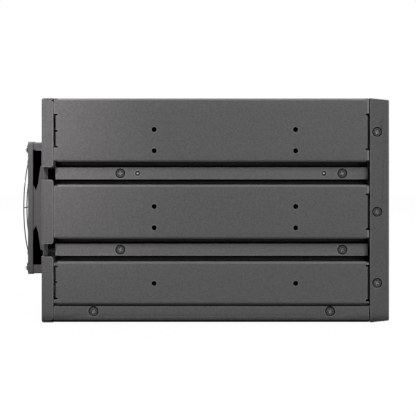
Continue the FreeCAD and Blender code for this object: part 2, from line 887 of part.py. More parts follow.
# Backplane behind the drives, and what stands on it.
def standoff_places():
    sides = (standoff_side - board_half, board_half - standoff_side)
    levels = (board_levels[0] + standoff_low, board_levels[1] - standoff_high)
    return [(y, z) for y in sides for z in levels]


def backplane_board():
    board = block((board_back, board_front), span(0.0, 2 * board_half), board_levels)
    cuts = []
    for side in tray_sides[:-1]:
        centre = side + tray_pitch / 2 + connector_side() + tray_pitch / 2
        for number in range(vent_count):
            level = mid_level - vent_drop + (number - (vent_count - 1) / 2) * vent_pitch
            cuts.append(block((board_back - 1, board_front + 1), span(centre, vent_width),
                              span(level, vent_height)))
    for y, z in standoff_places():
        cuts.append(rod(screw_radius, (board_back - 1, y, z), (board_front + 1, y, z)))
    return board.cut(cuts)


# Middle of a drive's connector to one side of the middle of its tray.
def connector_side():
    return connector_width - drive_thickness / 2


def drive_connectors():
    connectors = []
    level = mid_level + connector_height / 2 - connector_low
    front = board_front + connector_depth
    for centre in tray_sides:
        side = centre + connector_side()
        body = block((board_front, front), span(side, connector_width), span(level, connector_height))
        mouth = block((front - mouth_depth, front + 1), span(side, mouth_width), span(level, mouth_height))
        connectors.append(body.cut(mouth))
    return connectors


def rear_connector_places():
    places = []
    for number in range(tray_count):
        level = mid_level + (number - (tray_count - 1) / 2) * data_pitch
        places.append((socket_side, level, data_width, data_height))
    for number in range(power_count):
        level = mid_level + (number - (power_count - 1) / 2) * power_pitch
        places.append((-socket_side, level, power_width, power_height))
    return places


def rear_connector(place):
    y, z, width, height = place
    rear = rear_face + connector_recess
    body = block((rear, board_back), span(y, width), span(z, height))
    mouth = block((rear - 1, board_back - connector_wall), span(y, width - 2 * connector_wall),
                  span(z, height - 2 * connector_wall))
    return body.cut(mouth)


def data_connectors():
    sockets = []
    for place in rear_connector_places()[:tray_count]:
        y, z, width, height = place
        tongue = block((rear_face + tongue_recess, board_back - connector_wall), span(y, connector_wall),
                       span(z, height - 2 * (connector_wall + tongue_end)))
        sockets.append(rear_connector(place).fuse(tongue))
    return sockets


def power_connectors():
    sockets = []
    for place in rear_connector_places()[tray_count:]:
        y, z, width, height = place
        pins = []
        for number in range(power_pins):
            level = z + (number - (power_pins - 1) / 2) * power_pin_pitch
            pins.append(block((rear_face + pin_recess, board_back - connector_wall / 2),
                              span(y, power_pin), span(level, power_pin)))
        sockets.append(fused([rear_connector(place)] + pins))
    return sockets


def status_leds():
    leds = []
    for centre in tray_sides:
        for side in pipe_sides():
            leds.append(block((board_front, board_front + led_thickness), span(centre + side, pipe_size),
                              span(pipe_level(), pipe_size)))
    return leds


def backplane_standoffs():
    posts = []
    across = standoff_flats / math.sqrt(3)
    for y, z in standoff_places():
        corners = []
        for number in range(6):
            angle = math.radians(60 * number)
            corners.append((y + across * math.cos(angle), z + across * math.sin(angle)))
        posts.append(along_x(outline(corners), (cover_inner, board_back)))
    return posts


def backplane_screws():
    screws = []
    for y, z in standoff_places():
        head = rod(head_radius, (board_front, y, z), (board_front + board_screw_head, y, z))
        stem = rod(screw_radius, (board_back, y, z), (board_front, y, z))
        screws.append(head.fuse(stem))
    return screws


# Fan: square frame with a duct, a motor plate on struts, a stator and a seven blade rotor.
def fan_axis_rod(radius, x_range):
    return rod(radius, (min(x_range), 0, mid_level), (max(x_range), 0, mid_level))


# One side of the frame between its flanges, with a pointed pocket above and below.
def fan_side_wall(side):
    upper = [
        (fan_back + fan_flange, pocket_back),
        (fan_back + pocket_tip_in, pocket_tip),
        (fan_back + pocket_bend_in, pocket_bend),
        (fan_back + pocket_front_in, pocket_front),
        (fan_front - fan_flange, pocket_end),
    ]
    lower = [(x, -z) for x, z in reversed(upper)]
    return moved(along_y(outline(upper + lower), (fan_bore / 2, side)), z=mid_level)


def fan_frame():
    pieces = [fan_axis_rod(fan_bore + fan_duct_wall, (fan_back, fan_front))]
    for x_range in ((fan_back, fan_back + fan_flange), (fan_front - fan_flange, fan_front)):
        plate = block(x_range, span(0.0, fan_size), span(mid_level, fan_size))
        corners = [e for e in plate.Edges if e.BoundBox.XLength > fan_flange - 0.01]
        pieces.append(plate.makeFillet(fan_corner, corners))
    half = fan_size / 2
    side = half - fan_side_in
    top = mid_level + side
    post = block((fan_back, fan_front), (half - fan_post, side), (mid_level + half - fan_post, top))
    corner = [e for e in post.Edges if e.BoundBox.YMin > side - 0.01 and e.BoundBox.ZMin > top - 0.01]
    post = post.makeFillet(fan_corner - fan_side_in, corner)
    wall = fan_side_wall(side)
    for number in range(4):
        pieces += [turned_about_x(piece, 90 * number, mid_level) for piece in (post, wall)]
    cuts = [fan_axis_rod(fan_bore, (fan_back - 1, fan_front + 1))]
    for y, z in fan_screw_places():
        cuts.append(rod(fan_hole_radius, (fan_back - 1, y, z), (fan_front + 1, y, z)))
    square = fused(pieces).cut(cuts)
    motor = fan_axis_rod(hub_radius, (fan_back, fan_back + motor_plate))
    tube = fan_axis_rod(bearing_radius, (fan_back, stator_front() - hub_wall))
    struts = []
    for number in range(strut_count):
        strut = block((fan_back, fan_back + motor_plate), (bearing_radius, fan_bore + fan_duct_wall / 2),
                      span(mid_level, strut_width))
        struts.append(turned_about_x(strut, number * 360 / strut_count + strut_turn, mid_level))
    bore = fan_axis_rod(shaft_radius + shaft_running, (fan_back + shaft_radius, fan_front))
    return fused([square, motor, tube] + struts).cut(bore)


def stator_front():
    return fan_front - hub_set_back - hub_wall


def fan_stator():
    x_range = (fan_back + motor_plate, stator_front() - 2 * hub_wall)
    return fan_axis_rod(stator_radius, x_range).cut(fan_axis_rod(bearing_radius, x_range))


def blade_section(radius, chord, pitch, thickness, camber):
    half = chord / 2
    corners = [
        Vector(-half, 0, 0),
        Vector(-half / 3, camber, 0),
        Vector(half / 2, camber * camber_end, 0),
        Vector(half, 0, 0),
        Vector(half / 2, camber * camber_end + thickness, 0),
        Vector(-half / 3, camber + thickness, 0),
    ]
    wire = Part.makePolygon(corners + corners[:1])
    wire.rotate(Vector(0, 0, 0), Vector(0, 0, 1), 90 - pitch)
    wire.translate(Vector(0, 0, radius))
    return wire


def fan_rotor():
    front = fan_front - hub_set_back
    back = fan_back + motor_plate + motor_gap
    cup = fan_axis_rod(hub_radius, (back, front))
    cup = cup.makeFillet(hub_edge, [e for e in cup.Edges if e.BoundBox.XMin > front - 0.01])
    cup = cup.cut(fan_axis_rod(hub_radius - hub_wall, (back - 1, front - hub_wall)))
    shaft = fan_axis_rod(shaft_radius, (fan_back + shaft_radius + motor_gap, front - hub_wall / 2))
    root = blade_section(hub_radius - hub_wall / 2, root_chord, root_pitch, root_thickness, root_camber)
    tip = blade_section(fan_bore - blade_gap, tip_chord, tip_pitch, tip_thickness, tip_camber)
    blade = Part.makeLoft([root, tip], True, True)
    blade.translate(Vector((front + back) / 2, 0, mid_level))
    blades = [turned_about_x(blade, number * 360 / blade_count, mid_level) for number in range(blade_count)]
    return fused([cup, shaft] + blades)


# Guard: rings of eight-sided wire, two cross wires and four feet with an eye for a screw.
def guard_section(radius, x):
    corners = []
    wire = guard_wire / 2
    for number in range(wire_sides):
        angle = math.radians(360 * (number + 0.5) / wire_sides)
        corners.append(Vector(x + wire * math.cos(angle), radius + wire * math.sin(angle), 0))
    return Part.Face(Part.makePolygon(corners + corners[:1]))


def guard_ring(radius, x, y=0.0, z=0.0):
    ring = guard_section(radius, x).revolve(Vector(0, 0, 0), Vector(1, 0, 0), 360)
    return moved(ring, y=y, z=mid_level + z)


def fan_guard():
    ring_x = fan_back - guard_stand_off
    pieces = [guard_ring(radius, ring_x) for radius in guard_rings]
    reach = guard_rings[0]
    for degrees in (0, 90):
        wire = block(span(ring_x, cross_wire), span(0.0, 2 * reach), span(mid_level, cross_wire))
        pieces.append(turned_about_x(wire, degrees, mid_level))
    half = guard_wire / 2
    eye_x = fan_back - half
    eye_reach = math.hypot(fan_hole_spacing, fan_hole_spacing) / 2
    for number in range(4):
        foot = outline([
            (ring_x - half, reach - half),
            (ring_x + half, reach - half),
            (eye_x + half, eye_reach - guard_eye - guard_wire),
            (eye_x + half, eye_reach - guard_eye),
            (eye_x - half, eye_reach - guard_eye),
            (eye_x - half, eye_reach - guard_eye - guard_wire),
        ])
        leg = moved(along_y(foot, span(0.0, guard_wire)), z=mid_level)
        eye = guard_ring(guard_eye, eye_x, z=eye_reach)
        pieces.append(turned_about_x(leg.fuse(eye), 90 * number + 45, mid_level))
    return fused(pieces)


def fan_screws():
    screws = []
    for y, z in fan_screw_places():
        outer = fan_back - guard_wire
        head = rod(guard_screw_head, (outer - guard_screw_height, y, z), (outer, y, z))
        stem = rod(screw_radius, (outer, y, z), (fan_front + sheet, y, z))
        screws.append(head.fuse(stem))
    return screws


os.makedirs("parts", exist_ok=True)


def save(name, shape):
    if isinstance(shape, list):
        shape = Part.makeCompound(shape)
    shape.exportStep(os.path.join("parts", name + ".step"))
    print(name, len(shape.Solids), round(shape.Volume, 1), shape.isValid())


save("housing_shell", housing_shell())
save("bottom_cover", bottom_cover())
save("front_bezel", front_bezel())
save("rear_cover", rear_cover())
for side_name, way in (("left", -1), ("right", 1)):
    for level_name, strip_level in zip(("lower", "upper"), groove_levels):
        save(side_name + "_" + level_name + "_strip", side_strip(strip_level, way))
save("strip_screws", strip_screws())
save("locating_pins", locating_pins())
save("bezel_screws", bezel_screws())
save("base_screws", base_screws())
save("rear_cover_screws", rear_cover_screws())
save("upper_guide_plate", guide_plate(1))
save("lower_guide_plate", guide_plate(-1))
save("backplane_board", backplane_board())
save("drive_connectors", drive_connectors())
save("data_connectors", data_connectors())
save("power_connectors", power_connectors())
save("status_leds", status_leds())
save("backplane_standoffs", backplane_standoffs())
save("backplane_screws", backplane_screws())
save("fan_frame", fan_frame())
save("fan_stator", fan_stator())
save("fan_rotor", fan_rotor())
save("fan_guard", fan_guard())
save("fan_screws", fan_screws())
tray_pieces = {
    "sled": sled(),
    "front": tray_front(),
    "light_pipes": light_pipes(),
    "hinge_pin": hinge_pin(),
    "lever": lever(),
    "release_button": release_button(),
}
for tray_number, tray_side in enumerate(tray_sides, 1):
    for piece_name, piece in tray_pieces.items():
        solids = piece if isinstance(piece, list) else [piece]
        placed = [moved(solid, y=tray_side) for solid in solids]
        save("tray_%d_%s" % (tray_number, piece_name), placed if len(placed) > 1 else placed[0])
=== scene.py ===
import bpy
import bmesh
import json
import math
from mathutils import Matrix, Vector


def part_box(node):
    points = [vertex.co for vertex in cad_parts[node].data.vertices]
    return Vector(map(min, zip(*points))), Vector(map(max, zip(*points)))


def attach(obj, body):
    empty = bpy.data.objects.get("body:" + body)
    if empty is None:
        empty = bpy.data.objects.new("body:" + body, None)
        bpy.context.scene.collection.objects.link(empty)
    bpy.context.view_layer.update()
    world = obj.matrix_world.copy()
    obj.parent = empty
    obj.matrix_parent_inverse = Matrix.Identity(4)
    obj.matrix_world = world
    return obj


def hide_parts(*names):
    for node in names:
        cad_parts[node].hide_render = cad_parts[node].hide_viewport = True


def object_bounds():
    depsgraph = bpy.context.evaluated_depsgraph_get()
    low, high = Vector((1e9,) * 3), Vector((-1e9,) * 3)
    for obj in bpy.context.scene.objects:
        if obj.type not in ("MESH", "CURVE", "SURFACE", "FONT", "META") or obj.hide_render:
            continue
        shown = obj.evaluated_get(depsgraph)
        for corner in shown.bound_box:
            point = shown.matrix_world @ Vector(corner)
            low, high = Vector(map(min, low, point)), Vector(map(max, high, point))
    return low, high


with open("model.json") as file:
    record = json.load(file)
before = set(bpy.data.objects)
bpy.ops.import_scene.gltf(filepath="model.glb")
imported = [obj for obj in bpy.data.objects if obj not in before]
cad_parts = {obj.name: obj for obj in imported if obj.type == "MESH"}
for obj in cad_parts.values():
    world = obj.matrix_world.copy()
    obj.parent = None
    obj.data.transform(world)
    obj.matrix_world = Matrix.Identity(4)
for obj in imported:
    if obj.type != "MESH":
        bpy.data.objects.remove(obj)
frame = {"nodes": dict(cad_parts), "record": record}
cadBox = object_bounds()
record = frame["record"]
slotOf = {part["node"]: part["material_slot"] for part in record["subparts"]}
print("frame loaded:", len(frame["nodes"]), "nodes")

mm = 0.001
mergeGap = 0.002 * mm  # corners nearer than this are one corner
placeGap = 0.01 * mm  # how near a corner has to lie to a plane to be in it
placeDigits = 5  # the same, for rounding
jointGap = 0.3 * mm  # between the shell and the sheets beside it
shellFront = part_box("front_bezel")[0].x - jointGap
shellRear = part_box("rear_cover")[1].x + jointGap
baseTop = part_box("bottom_cover")[1].z
fanHeight = (cadBox[0].z + cadBox[1].z) / 2
quarterTurn = math.pi / 2


def mergedCopy(node):
    bm = bmesh.new()
    bm.from_mesh(frame["nodes"][node].data)
    bmesh.ops.remove_doubles(bm, verts=bm.verts, dist=mergeGap)
    return bm


def islands(node):
    # boxes of a node's separate solids, sorted by place
    bm = mergedCopy(node)
    left = set(bm.verts)
    found = []
    while left:
        queue = [left.pop()]
        low = queue[0].co.copy()
        high = queue[0].co.copy()
        while queue:
            vert = queue.pop()
            low = Vector(map(min, low, vert.co))
            high = Vector(map(max, high, vert.co))
            for edge in vert.link_edges:
                other = edge.other_vert(vert)
                if other in left:
                    left.remove(other)
                    queue.append(other)
        found.append((low, high))
    bm.free()
    return sorted(found, key=lambda pair: tuple(round(value, placeDigits) for value in pair[0]))


def meshObject(name, mesh):
    piece = bpy.data.objects.new(name, mesh)
    bpy.context.scene.collection.objects.link(piece)
    return piece


def fromBmesh(name, bm):
    mesh = bpy.data.meshes.new(name)
    bm.to_mesh(mesh)
    bm.free()
    return meshObject(name, mesh)


softLook = {"smoothAngle": 32.0, "flatAngle": 0.6, "bevelAngle": 40.0, "segments": 2}


def smoothShade(piece, degrees=softLook["smoothAngle"]):
    mesh = piece.data
    mesh.polygons.foreach_set("use_smooth", [True] * len(mesh.polygons))
    mesh.set_sharp_from_angle(angle=math.radians(degrees))


def finishPiece(piece, body, slot, node):
    if not piece.data.materials:
        piece.data.materials.append(finishes[slot])
    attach(piece, body)
    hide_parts(node)


def newGroup(name, inputs, outputs):
    # an effect that several finishes share; all of its sockets are plain numbers
    group = bpy.data.node_groups.new(name, "ShaderNodeTree")
    for side, labels in (("INPUT", inputs), ("OUTPUT", outputs)):
        for label in labels:
            group.interface.new_socket(label, in_out=side, socket_type="NodeSocketFloat")
    return group, group.nodes.new("NodeGroupInput"), group.nodes.new("NodeGroupOutput")


def mathNode(tree, operation, first, second=None, clamp=False):
    node = tree.nodes.new("ShaderNodeMath")
    node.operation = operation
    node.use_clamp = clamp
    for socket, value in zip(node.inputs, (first, second)):
        if value is None:
            continue
        if isinstance(value, (int, float)):
            socket.default_value = value
        else:
            tree.links.new(value, socket)
    return node.outputs[0]


def blended(tree, first, second, share):
    # the second takes its share of the sum, and the first the rest
    rest = mathNode(tree, "MULTIPLY", first, 1 - share)
    return mathNode(tree, "ADD", rest, mathNode(tree, "MULTIPLY", second, share))


def noiseNode(tree, scale, detail, roughness):
    node = tree.nodes.new("ShaderNodeTexNoise")
    place = tree.nodes.new("ShaderNodeTexCoord")
    tree.links.new(place.outputs["Object"], node.inputs["Vector"])
    tree.links.new(scale, node.inputs["Scale"])
    node.inputs["Detail"].default_value = detail
    node.inputs["Roughness"].default_value = roughness
    return node.outputs[0]


def remap(tree, value, fromLow, fromHigh, toLow=0.0, toHigh=1.0):
    node = tree.nodes.new("ShaderNodeMapRange")
    tree.links.new(value, node.inputs["Value"])
    limits = (("From Min", fromLow), ("From Max", fromHigh), ("To Min", toLow), ("To Max", toHigh))
    for label, number in limits:
        node.inputs[label].default_value = number
    return node.outputs[0]


grainLook = {
    "fineDetail": 3.0, "fineRoughness": 0.6, "coarseScale": 0.36, "coarseDetail": 1.0, "coarseRoughness": 0.4,
    "coarseShare": 0.4, "speckFrom": 0.34, "speckTo": 0.66, "speckShare": 0.7,
    "mottleDetail": 2.0, "mottleRoughness": 0.5,
}


def makeGrainGroup():
    # orange-peel bumps with specks, and a slow mottle over the whole surface
    look = grainLook
    group, inner, outer = newGroup("coatGrain", ("Grain", "Mottle"), ("Height", "Tone"))
    fine = noiseNode(group, inner.outputs["Grain"], look["fineDetail"], look["fineRoughness"])
    coarseGrain = mathNode(group, "MULTIPLY", inner.outputs["Grain"], look["coarseScale"])
    coarse = noiseNode(group, coarseGrain, look["coarseDetail"], look["coarseRoughness"])
    slow = noiseNode(group, inner.outputs["Mottle"], look["mottleDetail"], look["mottleRoughness"])
    speck = remap(group, coarse, look["speckFrom"], look["speckTo"])
    group.links.new(blended(group, fine, coarse, look["coarseShare"]), outer.inputs["Height"])
    group.links.new(blended(group, slow, speck, look["speckShare"]), outer.inputs["Tone"])
    return group


wearAndHighlightLook = {
    "samples": 6, "turnFrom": 0.995, "turnTo": 0.90, "breakFrom": 0.35, "breakTo": 0.62, "leastWear": 0.5,
    "detail": 3.0, "roughness": 0.6,
}


def makeEdgeGroup():
    # where a point lies on a corner: a mask for edges rubbed bare and for the painted highlight that edges
    # catch
    look = wearAndHighlightLook
    group, inner, outer = newGroup("edgeWearAndHighlight", ("Width", "Breakup"), ("Mask",))
    bevel = group.nodes.new("ShaderNodeBevel")
    bevel.samples = look["samples"]
    group.links.new(inner.outputs["Width"], bevel.inputs["Radius"])
    geometry = group.nodes.new("ShaderNodeNewGeometry")
    dot = group.nodes.new("ShaderNodeVectorMath")
    dot.operation = "DOT_PRODUCT"
    group.links.new(bevel.outputs["Normal"], dot.inputs[0])
    group.links.new(geometry.outputs["Normal"], dot.inputs[1])
    turned = remap(group, dot.outputs["Value"], look["turnFrom"], look["turnTo"])
    breakup = noiseNode(group, inner.outputs["Breakup"], look["detail"], look["roughness"])
    broken = remap(group, breakup, look["breakFrom"], look["breakTo"], look["leastWear"])
    group.links.new(mathNode(group, "MULTIPLY", turned, broken, clamp=True), outer.inputs["Mask"])
    return group


dustLook = {
    "tiltFrom": 0.55, "patchFrom": 0.3, "patchTo": 0.75, "leastDust": 0.2, "detail": 4.0, "roughness": 0.65,
    "spread": 90.0, "colour": (0.36, 0.35, 0.34),
}


def makeDustGroup():
    # fine dust that settles on faces that look up
    look = dustLook
    group, inner, outer = newGroup("settledDust", ("Spread",), ("Mask",))
    geometry = group.nodes.new("ShaderNodeNewGeometry")
    split = group.nodes.new("ShaderNodeSeparateXYZ")
    group.links.new(geometry.outputs["Normal"], split.inputs[0])
    facing = remap(group, split.outputs["Z"], look["tiltFrom"], 1.0)
    patchy = noiseNode(group, inner.outputs["Spread"], look["detail"], look["roughness"])
    patches = remap(group, patchy, look["patchFrom"], look["patchTo"], look["leastDust"])
    group.links.new(mathNode(group, "MULTIPLY", facing, patches, clamp=True), outer.inputs["Mask"])
    return group


creviceLook = {"samples": 8, "openAt": 0.78, "closedAt": 0.42}


def makeCreviceGroup():
    # how closed in a point is, from 0 in the open to 1 at the bottom of a joint or a screw recess, which the
    # finishes use to paint shade there
    group, inner, outer = newGroup("creviceShade", ("Reach", "Depth"), ("Mask",))
    around = group.nodes.new("ShaderNodeAmbientOcclusion")
    around.samples = creviceLook["samples"]
    group.links.new(inner.outputs["Reach"], around.inputs["Distance"])
    closed = remap(group, around.outputs["AO"], creviceLook["openAt"], creviceLook["closedAt"])
    mask = mathNode(group, "MULTIPLY", closed, inner.outputs["Depth"], clamp=True)
    group.links.new(mask, outer.inputs["Mask"])
    return group


stepLook = {
    "Front": shellFront - 1.8 * mm, "Rear": shellRear + 2.0 * mm, "Low": baseTop + 0.65 * mm,
    "Face": cadBox[1].y - 0.125 * mm, "Rim": -0.45 * mm,
}


def makeStepGroup():
    # painted shadow: the stepped tabs and the lower lap of the shell, which lie in the shadow of the sheets
    # over them, turn black;
    # and a painted highlight on the rim beside the front joint
    group, inner, outer = newGroup("stepShade", stepLook, ("Mask", "Rim"))
    place = group.nodes.new("ShaderNodeTexCoord")
    split = group.nodes.new("ShaderNodeSeparateXYZ")
    group.links.new(place.outputs["Object"], split.inputs[0])
    beyondFront = mathNode(group, "GREATER_THAN", split.outputs["X"], inner.outputs["Front"])
    beyondRear = mathNode(group, "LESS_THAN", split.outputs["X"], inner.outputs["Rear"])
    underneath = mathNode(group, "LESS_THAN", split.outputs["Z"], inner.outputs["Low"])
    across = mathNode(group, "ABSOLUTE", split.outputs["Y"])
    inside = mathNode(group, "LESS_THAN", across, inner.outputs["Face"])
    ends = mathNode(group, "MAXIMUM", beyondFront, beyondRear)
    covered = mathNode(group, "MAXIMUM", ends, underneath)
    group.links.new(mathNode(group, "MULTIPLY", covered, inside), outer.inputs["Mask"])
    rimStart = mathNode(group, "SUBTRACT", inner.outputs["Front"], inner.outputs["Rim"])
    rim = mathNode(group, "GREATER_THAN", split.outputs["X"], rimStart)
    outside = mathNode(group, "SUBTRACT", 1.0, inside)
    group.links.new(mathNode(group, "MULTIPLY", rim, outside), outer.inputs["Rim"])
    return group


grainGroup = makeGrainGroup()
stepGroup = makeStepGroup()
edgeGroup = makeEdgeGroup()
dustGroup = makeDustGroup()
creviceGroup = makeCreviceGroup()


def useGroup(tree, group, values):
    node = tree.nodes.new("ShaderNodeGroup")
    node.node_tree = group
    for label, value in values.items():
        node.inputs[label].default_value = value
    return node


def colourSockets(sockets):
    return [socket for socket in sockets if socket.type == "RGBA"]


def mixColour(tree, factor, first, second):
    node = tree.nodes.new("ShaderNodeMix")
    node.data_type = "RGBA"
    tree.links.new(factor, node.inputs["Factor"])
    for socket, value in zip(colourSockets(node.inputs), (first, second)):
        if isinstance(value, tuple):
            socket.default_value = (*value, 1.0)
        else:
            tree.links.new(value, socket)
    return colourSockets(node.outputs)[0]


finishLook = {"breakupScale": 0.2, "roughSpread": 0.06, "coatRoughness": 0.12, "clearIor": 1.49}
black = (0.0, 0.0, 0.0)
white = (1.0, 1.0, 1.0)


def makeFinish(name, look):
    material = bpy.data.materials.new(name)
    material.use_nodes = True
    tree = material.node_tree
    shader = tree.nodes["Principled BSDF"]
    grain = useGroup(tree, grainGroup, {"Grain": look["grain"], "Mottle": look["mottle"]})
    breakup = look["grain"] * finishLook["breakupScale"]
    edge = useGroup(tree, edgeGroup, {"Width": look["edgeWidth"], "Breakup": breakup})
    dust = useGroup(tree, dustGroup, {"Spread": dustLook["spread"]})
    dark = tuple(c * (1 - look["contrast"]) for c in look["colour"])
    light = tuple(c * (1 + look["contrast"]) for c in look["colour"])
    colour = mixColour(tree, grain.outputs["Tone"], dark, light)
    # painted highlight and wear: corners are lightened towards the edge colour
    wornAndLit = mathNode(tree, "MULTIPLY", edge.outputs["Mask"], look["wear"])
    colour = mixColour(tree, wornAndLit, colour, look["edgeColour"])
    dusty = mathNode(tree, "MULTIPLY", dust.outputs["Mask"], look["dust"])
    colour = mixColour(tree, dusty, colour, dustLook["colour"])
    # painted shade: the colour darkens towards the crevice tone in joints, gaps and recesses
    crevice = useGroup(tree, creviceGroup, {"Reach": look["creviceReach"], "Depth": look["creviceDepth"]})
    shade = tuple(c * look["creviceTone"] for c in look["colour"])
    colour = mixColour(tree, crevice.outputs["Mask"], colour, shade)
    if "steps" in look:
        # painted highlight on the rim beside the front joint, and painted shadow that turns the steps black
        steps = useGroup(tree, stepGroup, look["steps"])
        rimHighlight = mathNode(tree, "MULTIPLY", steps.outputs["Rim"], look["paintedRimHighlight"])
        colour = mixColour(tree, rimHighlight, colour, look["edgeColour"])
        colour = mixColour(tree, steps.outputs["Mask"], colour, black)
    tree.links.new(colour, shader.inputs["Base Color"])
    lowest = look["rough"] - finishLook["roughSpread"]
    highest = look["rough"] + finishLook["roughSpread"]
    rough = remap(tree, grain.outputs["Tone"], 0.0, 1.0, lowest, highest)
    tree.links.new(rough, shader.inputs["Roughness"])
    bump = tree.nodes.new("ShaderNodeBump")
    bump.inputs["Strength"].default_value = look["bump"]
    bump.inputs["Distance"].default_value = look["bumpDepth"]
    tree.links.new(grain.outputs["Height"], bump.inputs["Height"])
    tree.links.new(bump.outputs["Normal"], shader.inputs["Normal"])
    if "metal" in look:
        shader.inputs["Metallic"].default_value = look["metal"]
    elif "paintedJointShade" in look:
        # painted shade: takes the gloss out of deep joints, so that they stay black
        tree.links.new(crevice.outputs["Mask"], shader.inputs["Metallic"])
    shader.inputs["Specular IOR Level"].default_value = look.get("specular", 0.5)
    shader.inputs["Specular Tint"].default_value = (*look.get("tint", white), 1.0)
    if "coat" in look:
        shader.inputs["Coat Weight"].default_value = look["coat"]
        shader.inputs["Coat Roughness"].default_value = finishLook["coatRoughness"]
    if "clear" in look:
        shader.inputs["Transmission Weight"].default_value = look["clear"]
        shader.inputs["IOR"].default_value = finishLook["clearIor"]
    return material


# on the powder coat the edge colour paints a light line along edges, as highlight as well as wear, and the
# crevice settings paint shade in the gaps beside the strips and in the joints
powder = {
    "colour": (0.105, 0.1035, 0.104), "contrast": 0.19, "grain": 3600.0, "mottle": 30.0, "rough": 0.56,
    "bump": 0.34, "bumpDepth": 0.4 * mm, "edgeWidth": 0.9 * mm, "wear": 0.9, "edgeColour": (0.27, 0.27, 0.27),
    "dust": 0.03, "specular": 0.36, "creviceReach": 11.0 * mm, "creviceDepth": 1.15, "creviceTone": 0.0,
    "paintedJointShade": True,
}
mould = {
    "colour": (0.03, 0.03, 0.032), "contrast": 0.10, "grain": 2600.0, "mottle": 60.0, "rough": 0.5,
    "bump": 0.16, "bumpDepth": 0.3 * mm, "edgeWidth": 0.3 * mm, "wear": 0.18,
    "edgeColour": (0.10, 0.10, 0.105), "dust": 0.03, "specular": 0.4, "creviceReach": 5.0 * mm,
    "creviceDepth": 0.7, "creviceTone": 0.1,
}
metal = {
    "colour": (0.5, 0.5, 0.51), "contrast": 0.08, "grain": 3200.0, "mottle": 120.0, "rough": 0.3,
    "bump": 0.06, "bumpDepth": 0.2 * mm, "edgeWidth": 0.2 * mm, "wear": 0.3, "edgeColour": (0.8, 0.8, 0.8),
    "dust": 0.0, "metal": 1.0, "creviceReach": 1.6 * mm, "creviceDepth": 0.8, "creviceTone": 0.1,
}
slotLooks = {
    "shell_coat": {**powder, "paintedRimHighlight": 0.5, "steps": stepLook},
    "cover_coat": {**powder, "colour": (0.100, 0.098, 0.099)},
    "bezel_coat": {**powder, "colour": (0.084, 0.084, 0.085), "rough": 0.54},
    "rear_coat": {**powder, "colour": (0.100, 0.099, 0.101)},
    "strip_coat": {**powder, "colour": (0.134, 0.132, 0.133), "edgeColour": (0.4, 0.4, 0.4)},
    # painted shade: the crevice settings darken the ring round each head and its recess
    "screw_black": {
        **mould, "colour": (0.05, 0.05, 0.051), "contrast": 0.4, "edgeColour": (0.1, 0.1, 0.1),
        "specular": 0.3, "creviceReach": 1.2 * mm, "creviceDepth": 1.5, "paintedJointShade": True,
    },
    # a painted glint in each screw recess
    "recess_glint": {
        **mould, "colour": (0.42, 0.41, 0.40), "edgeColour": (0.6, 0.6, 0.6), "rough": 0.4,
        "creviceDepth": 0.0,
    },
    "fan_screw_nickel": {**metal, "colour": (0.42, 0.42, 0.43), "rough": 0.35},
    "pin_steel": {**metal, "colour": (0.55, 0.55, 0.56)},
    "guide_plastic": {**mould, "colour": (0.045, 0.045, 0.047)},
    "board_laminate": {**mould, "colour": (0.012, 0.06, 0.03), "rough": 0.34, "coat": 0.4, "bump": 0.05},
    "connector_plastic": {**mould, "colour": (0.022, 0.022, 0.024)},
    "power_plastic": {**mould, "colour": (0.72, 0.69, 0.60), "edgeColour": (0.85, 0.83, 0.78), "rough": 0.42},
    "led_clear": {
        **mould, "colour": (0.78, 0.80, 0.76), "edgeColour": (0.9, 0.9, 0.9), "rough": 0.2, "coat": 0.5,
    },
    # painted shade: a long crevice reach and depth darken the standoffs inside the case
    "standoff_brass": {
        **metal, "colour": (0.55, 0.40, 0.18), "edgeColour": (0.7, 0.58, 0.3), "creviceReach": 30.0 * mm,
        "creviceDepth": 2.5, "tint": (0.05, 0.05, 0.05),
    },
    # painted shade: a long crevice reach and depth paint the fan's side pockets black
    "fan_plastic": {
        **mould, "colour": (0.13, 0.127, 0.13), "edgeColour": (0.2, 0.2, 0.2), "creviceReach": 14.0 * mm,
        "creviceDepth": 3.0, "creviceTone": 0.0, "specular": 0.15, "tint": (0.05, 0.05, 0.05),
        "paintedJointShade": True,
    },
    "stator_steel": {**metal, "colour": (0.35, 0.20, 0.10), "rough": 0.45},
    "rotor_plastic": {**mould, "colour": (0.10, 0.10, 0.102), "edgeColour": (0.2, 0.2, 0.2), "rough": 0.44},
    "guard_steel": {**mould, "colour": (0.022, 0.022, 0.024), "rough": 0.34, "coat": 0.3},
    "sled_plastic": {**mould, "colour": (0.05, 0.05, 0.052)},
    "front_plastic": {**mould, "colour": (0.034, 0.034, 0.036)},
    "lever_plastic": {**mould, "colour": (0.042, 0.042, 0.045), "rough": 0.46},
    "button_plastic": {**mould, "colour": (0.14, 0.14, 0.145), "edgeColour": (0.3, 0.3, 0.3)},
    "pipe_clear": {
        **mould, "colour": (0.80, 0.84, 0.83), "edgeColour": (0.9, 0.92, 0.92), "rough": 0.12, "clear": 0.6,
    },
}
finishes = {slot: makeFinish(slot, look) for slot, look in slotLooks.items()}
for node, piece in frame["nodes"].items():
    piece.data.materials.clear()
    piece.data.materials.append(finishes[slotOf[node]])
print("finishes made:", len(finishes))


def labelOf(key):
    # the input for headRadius is labelled Head Radius
    return "".join(" " + letter if letter.isupper() else letter for letter in key).title()


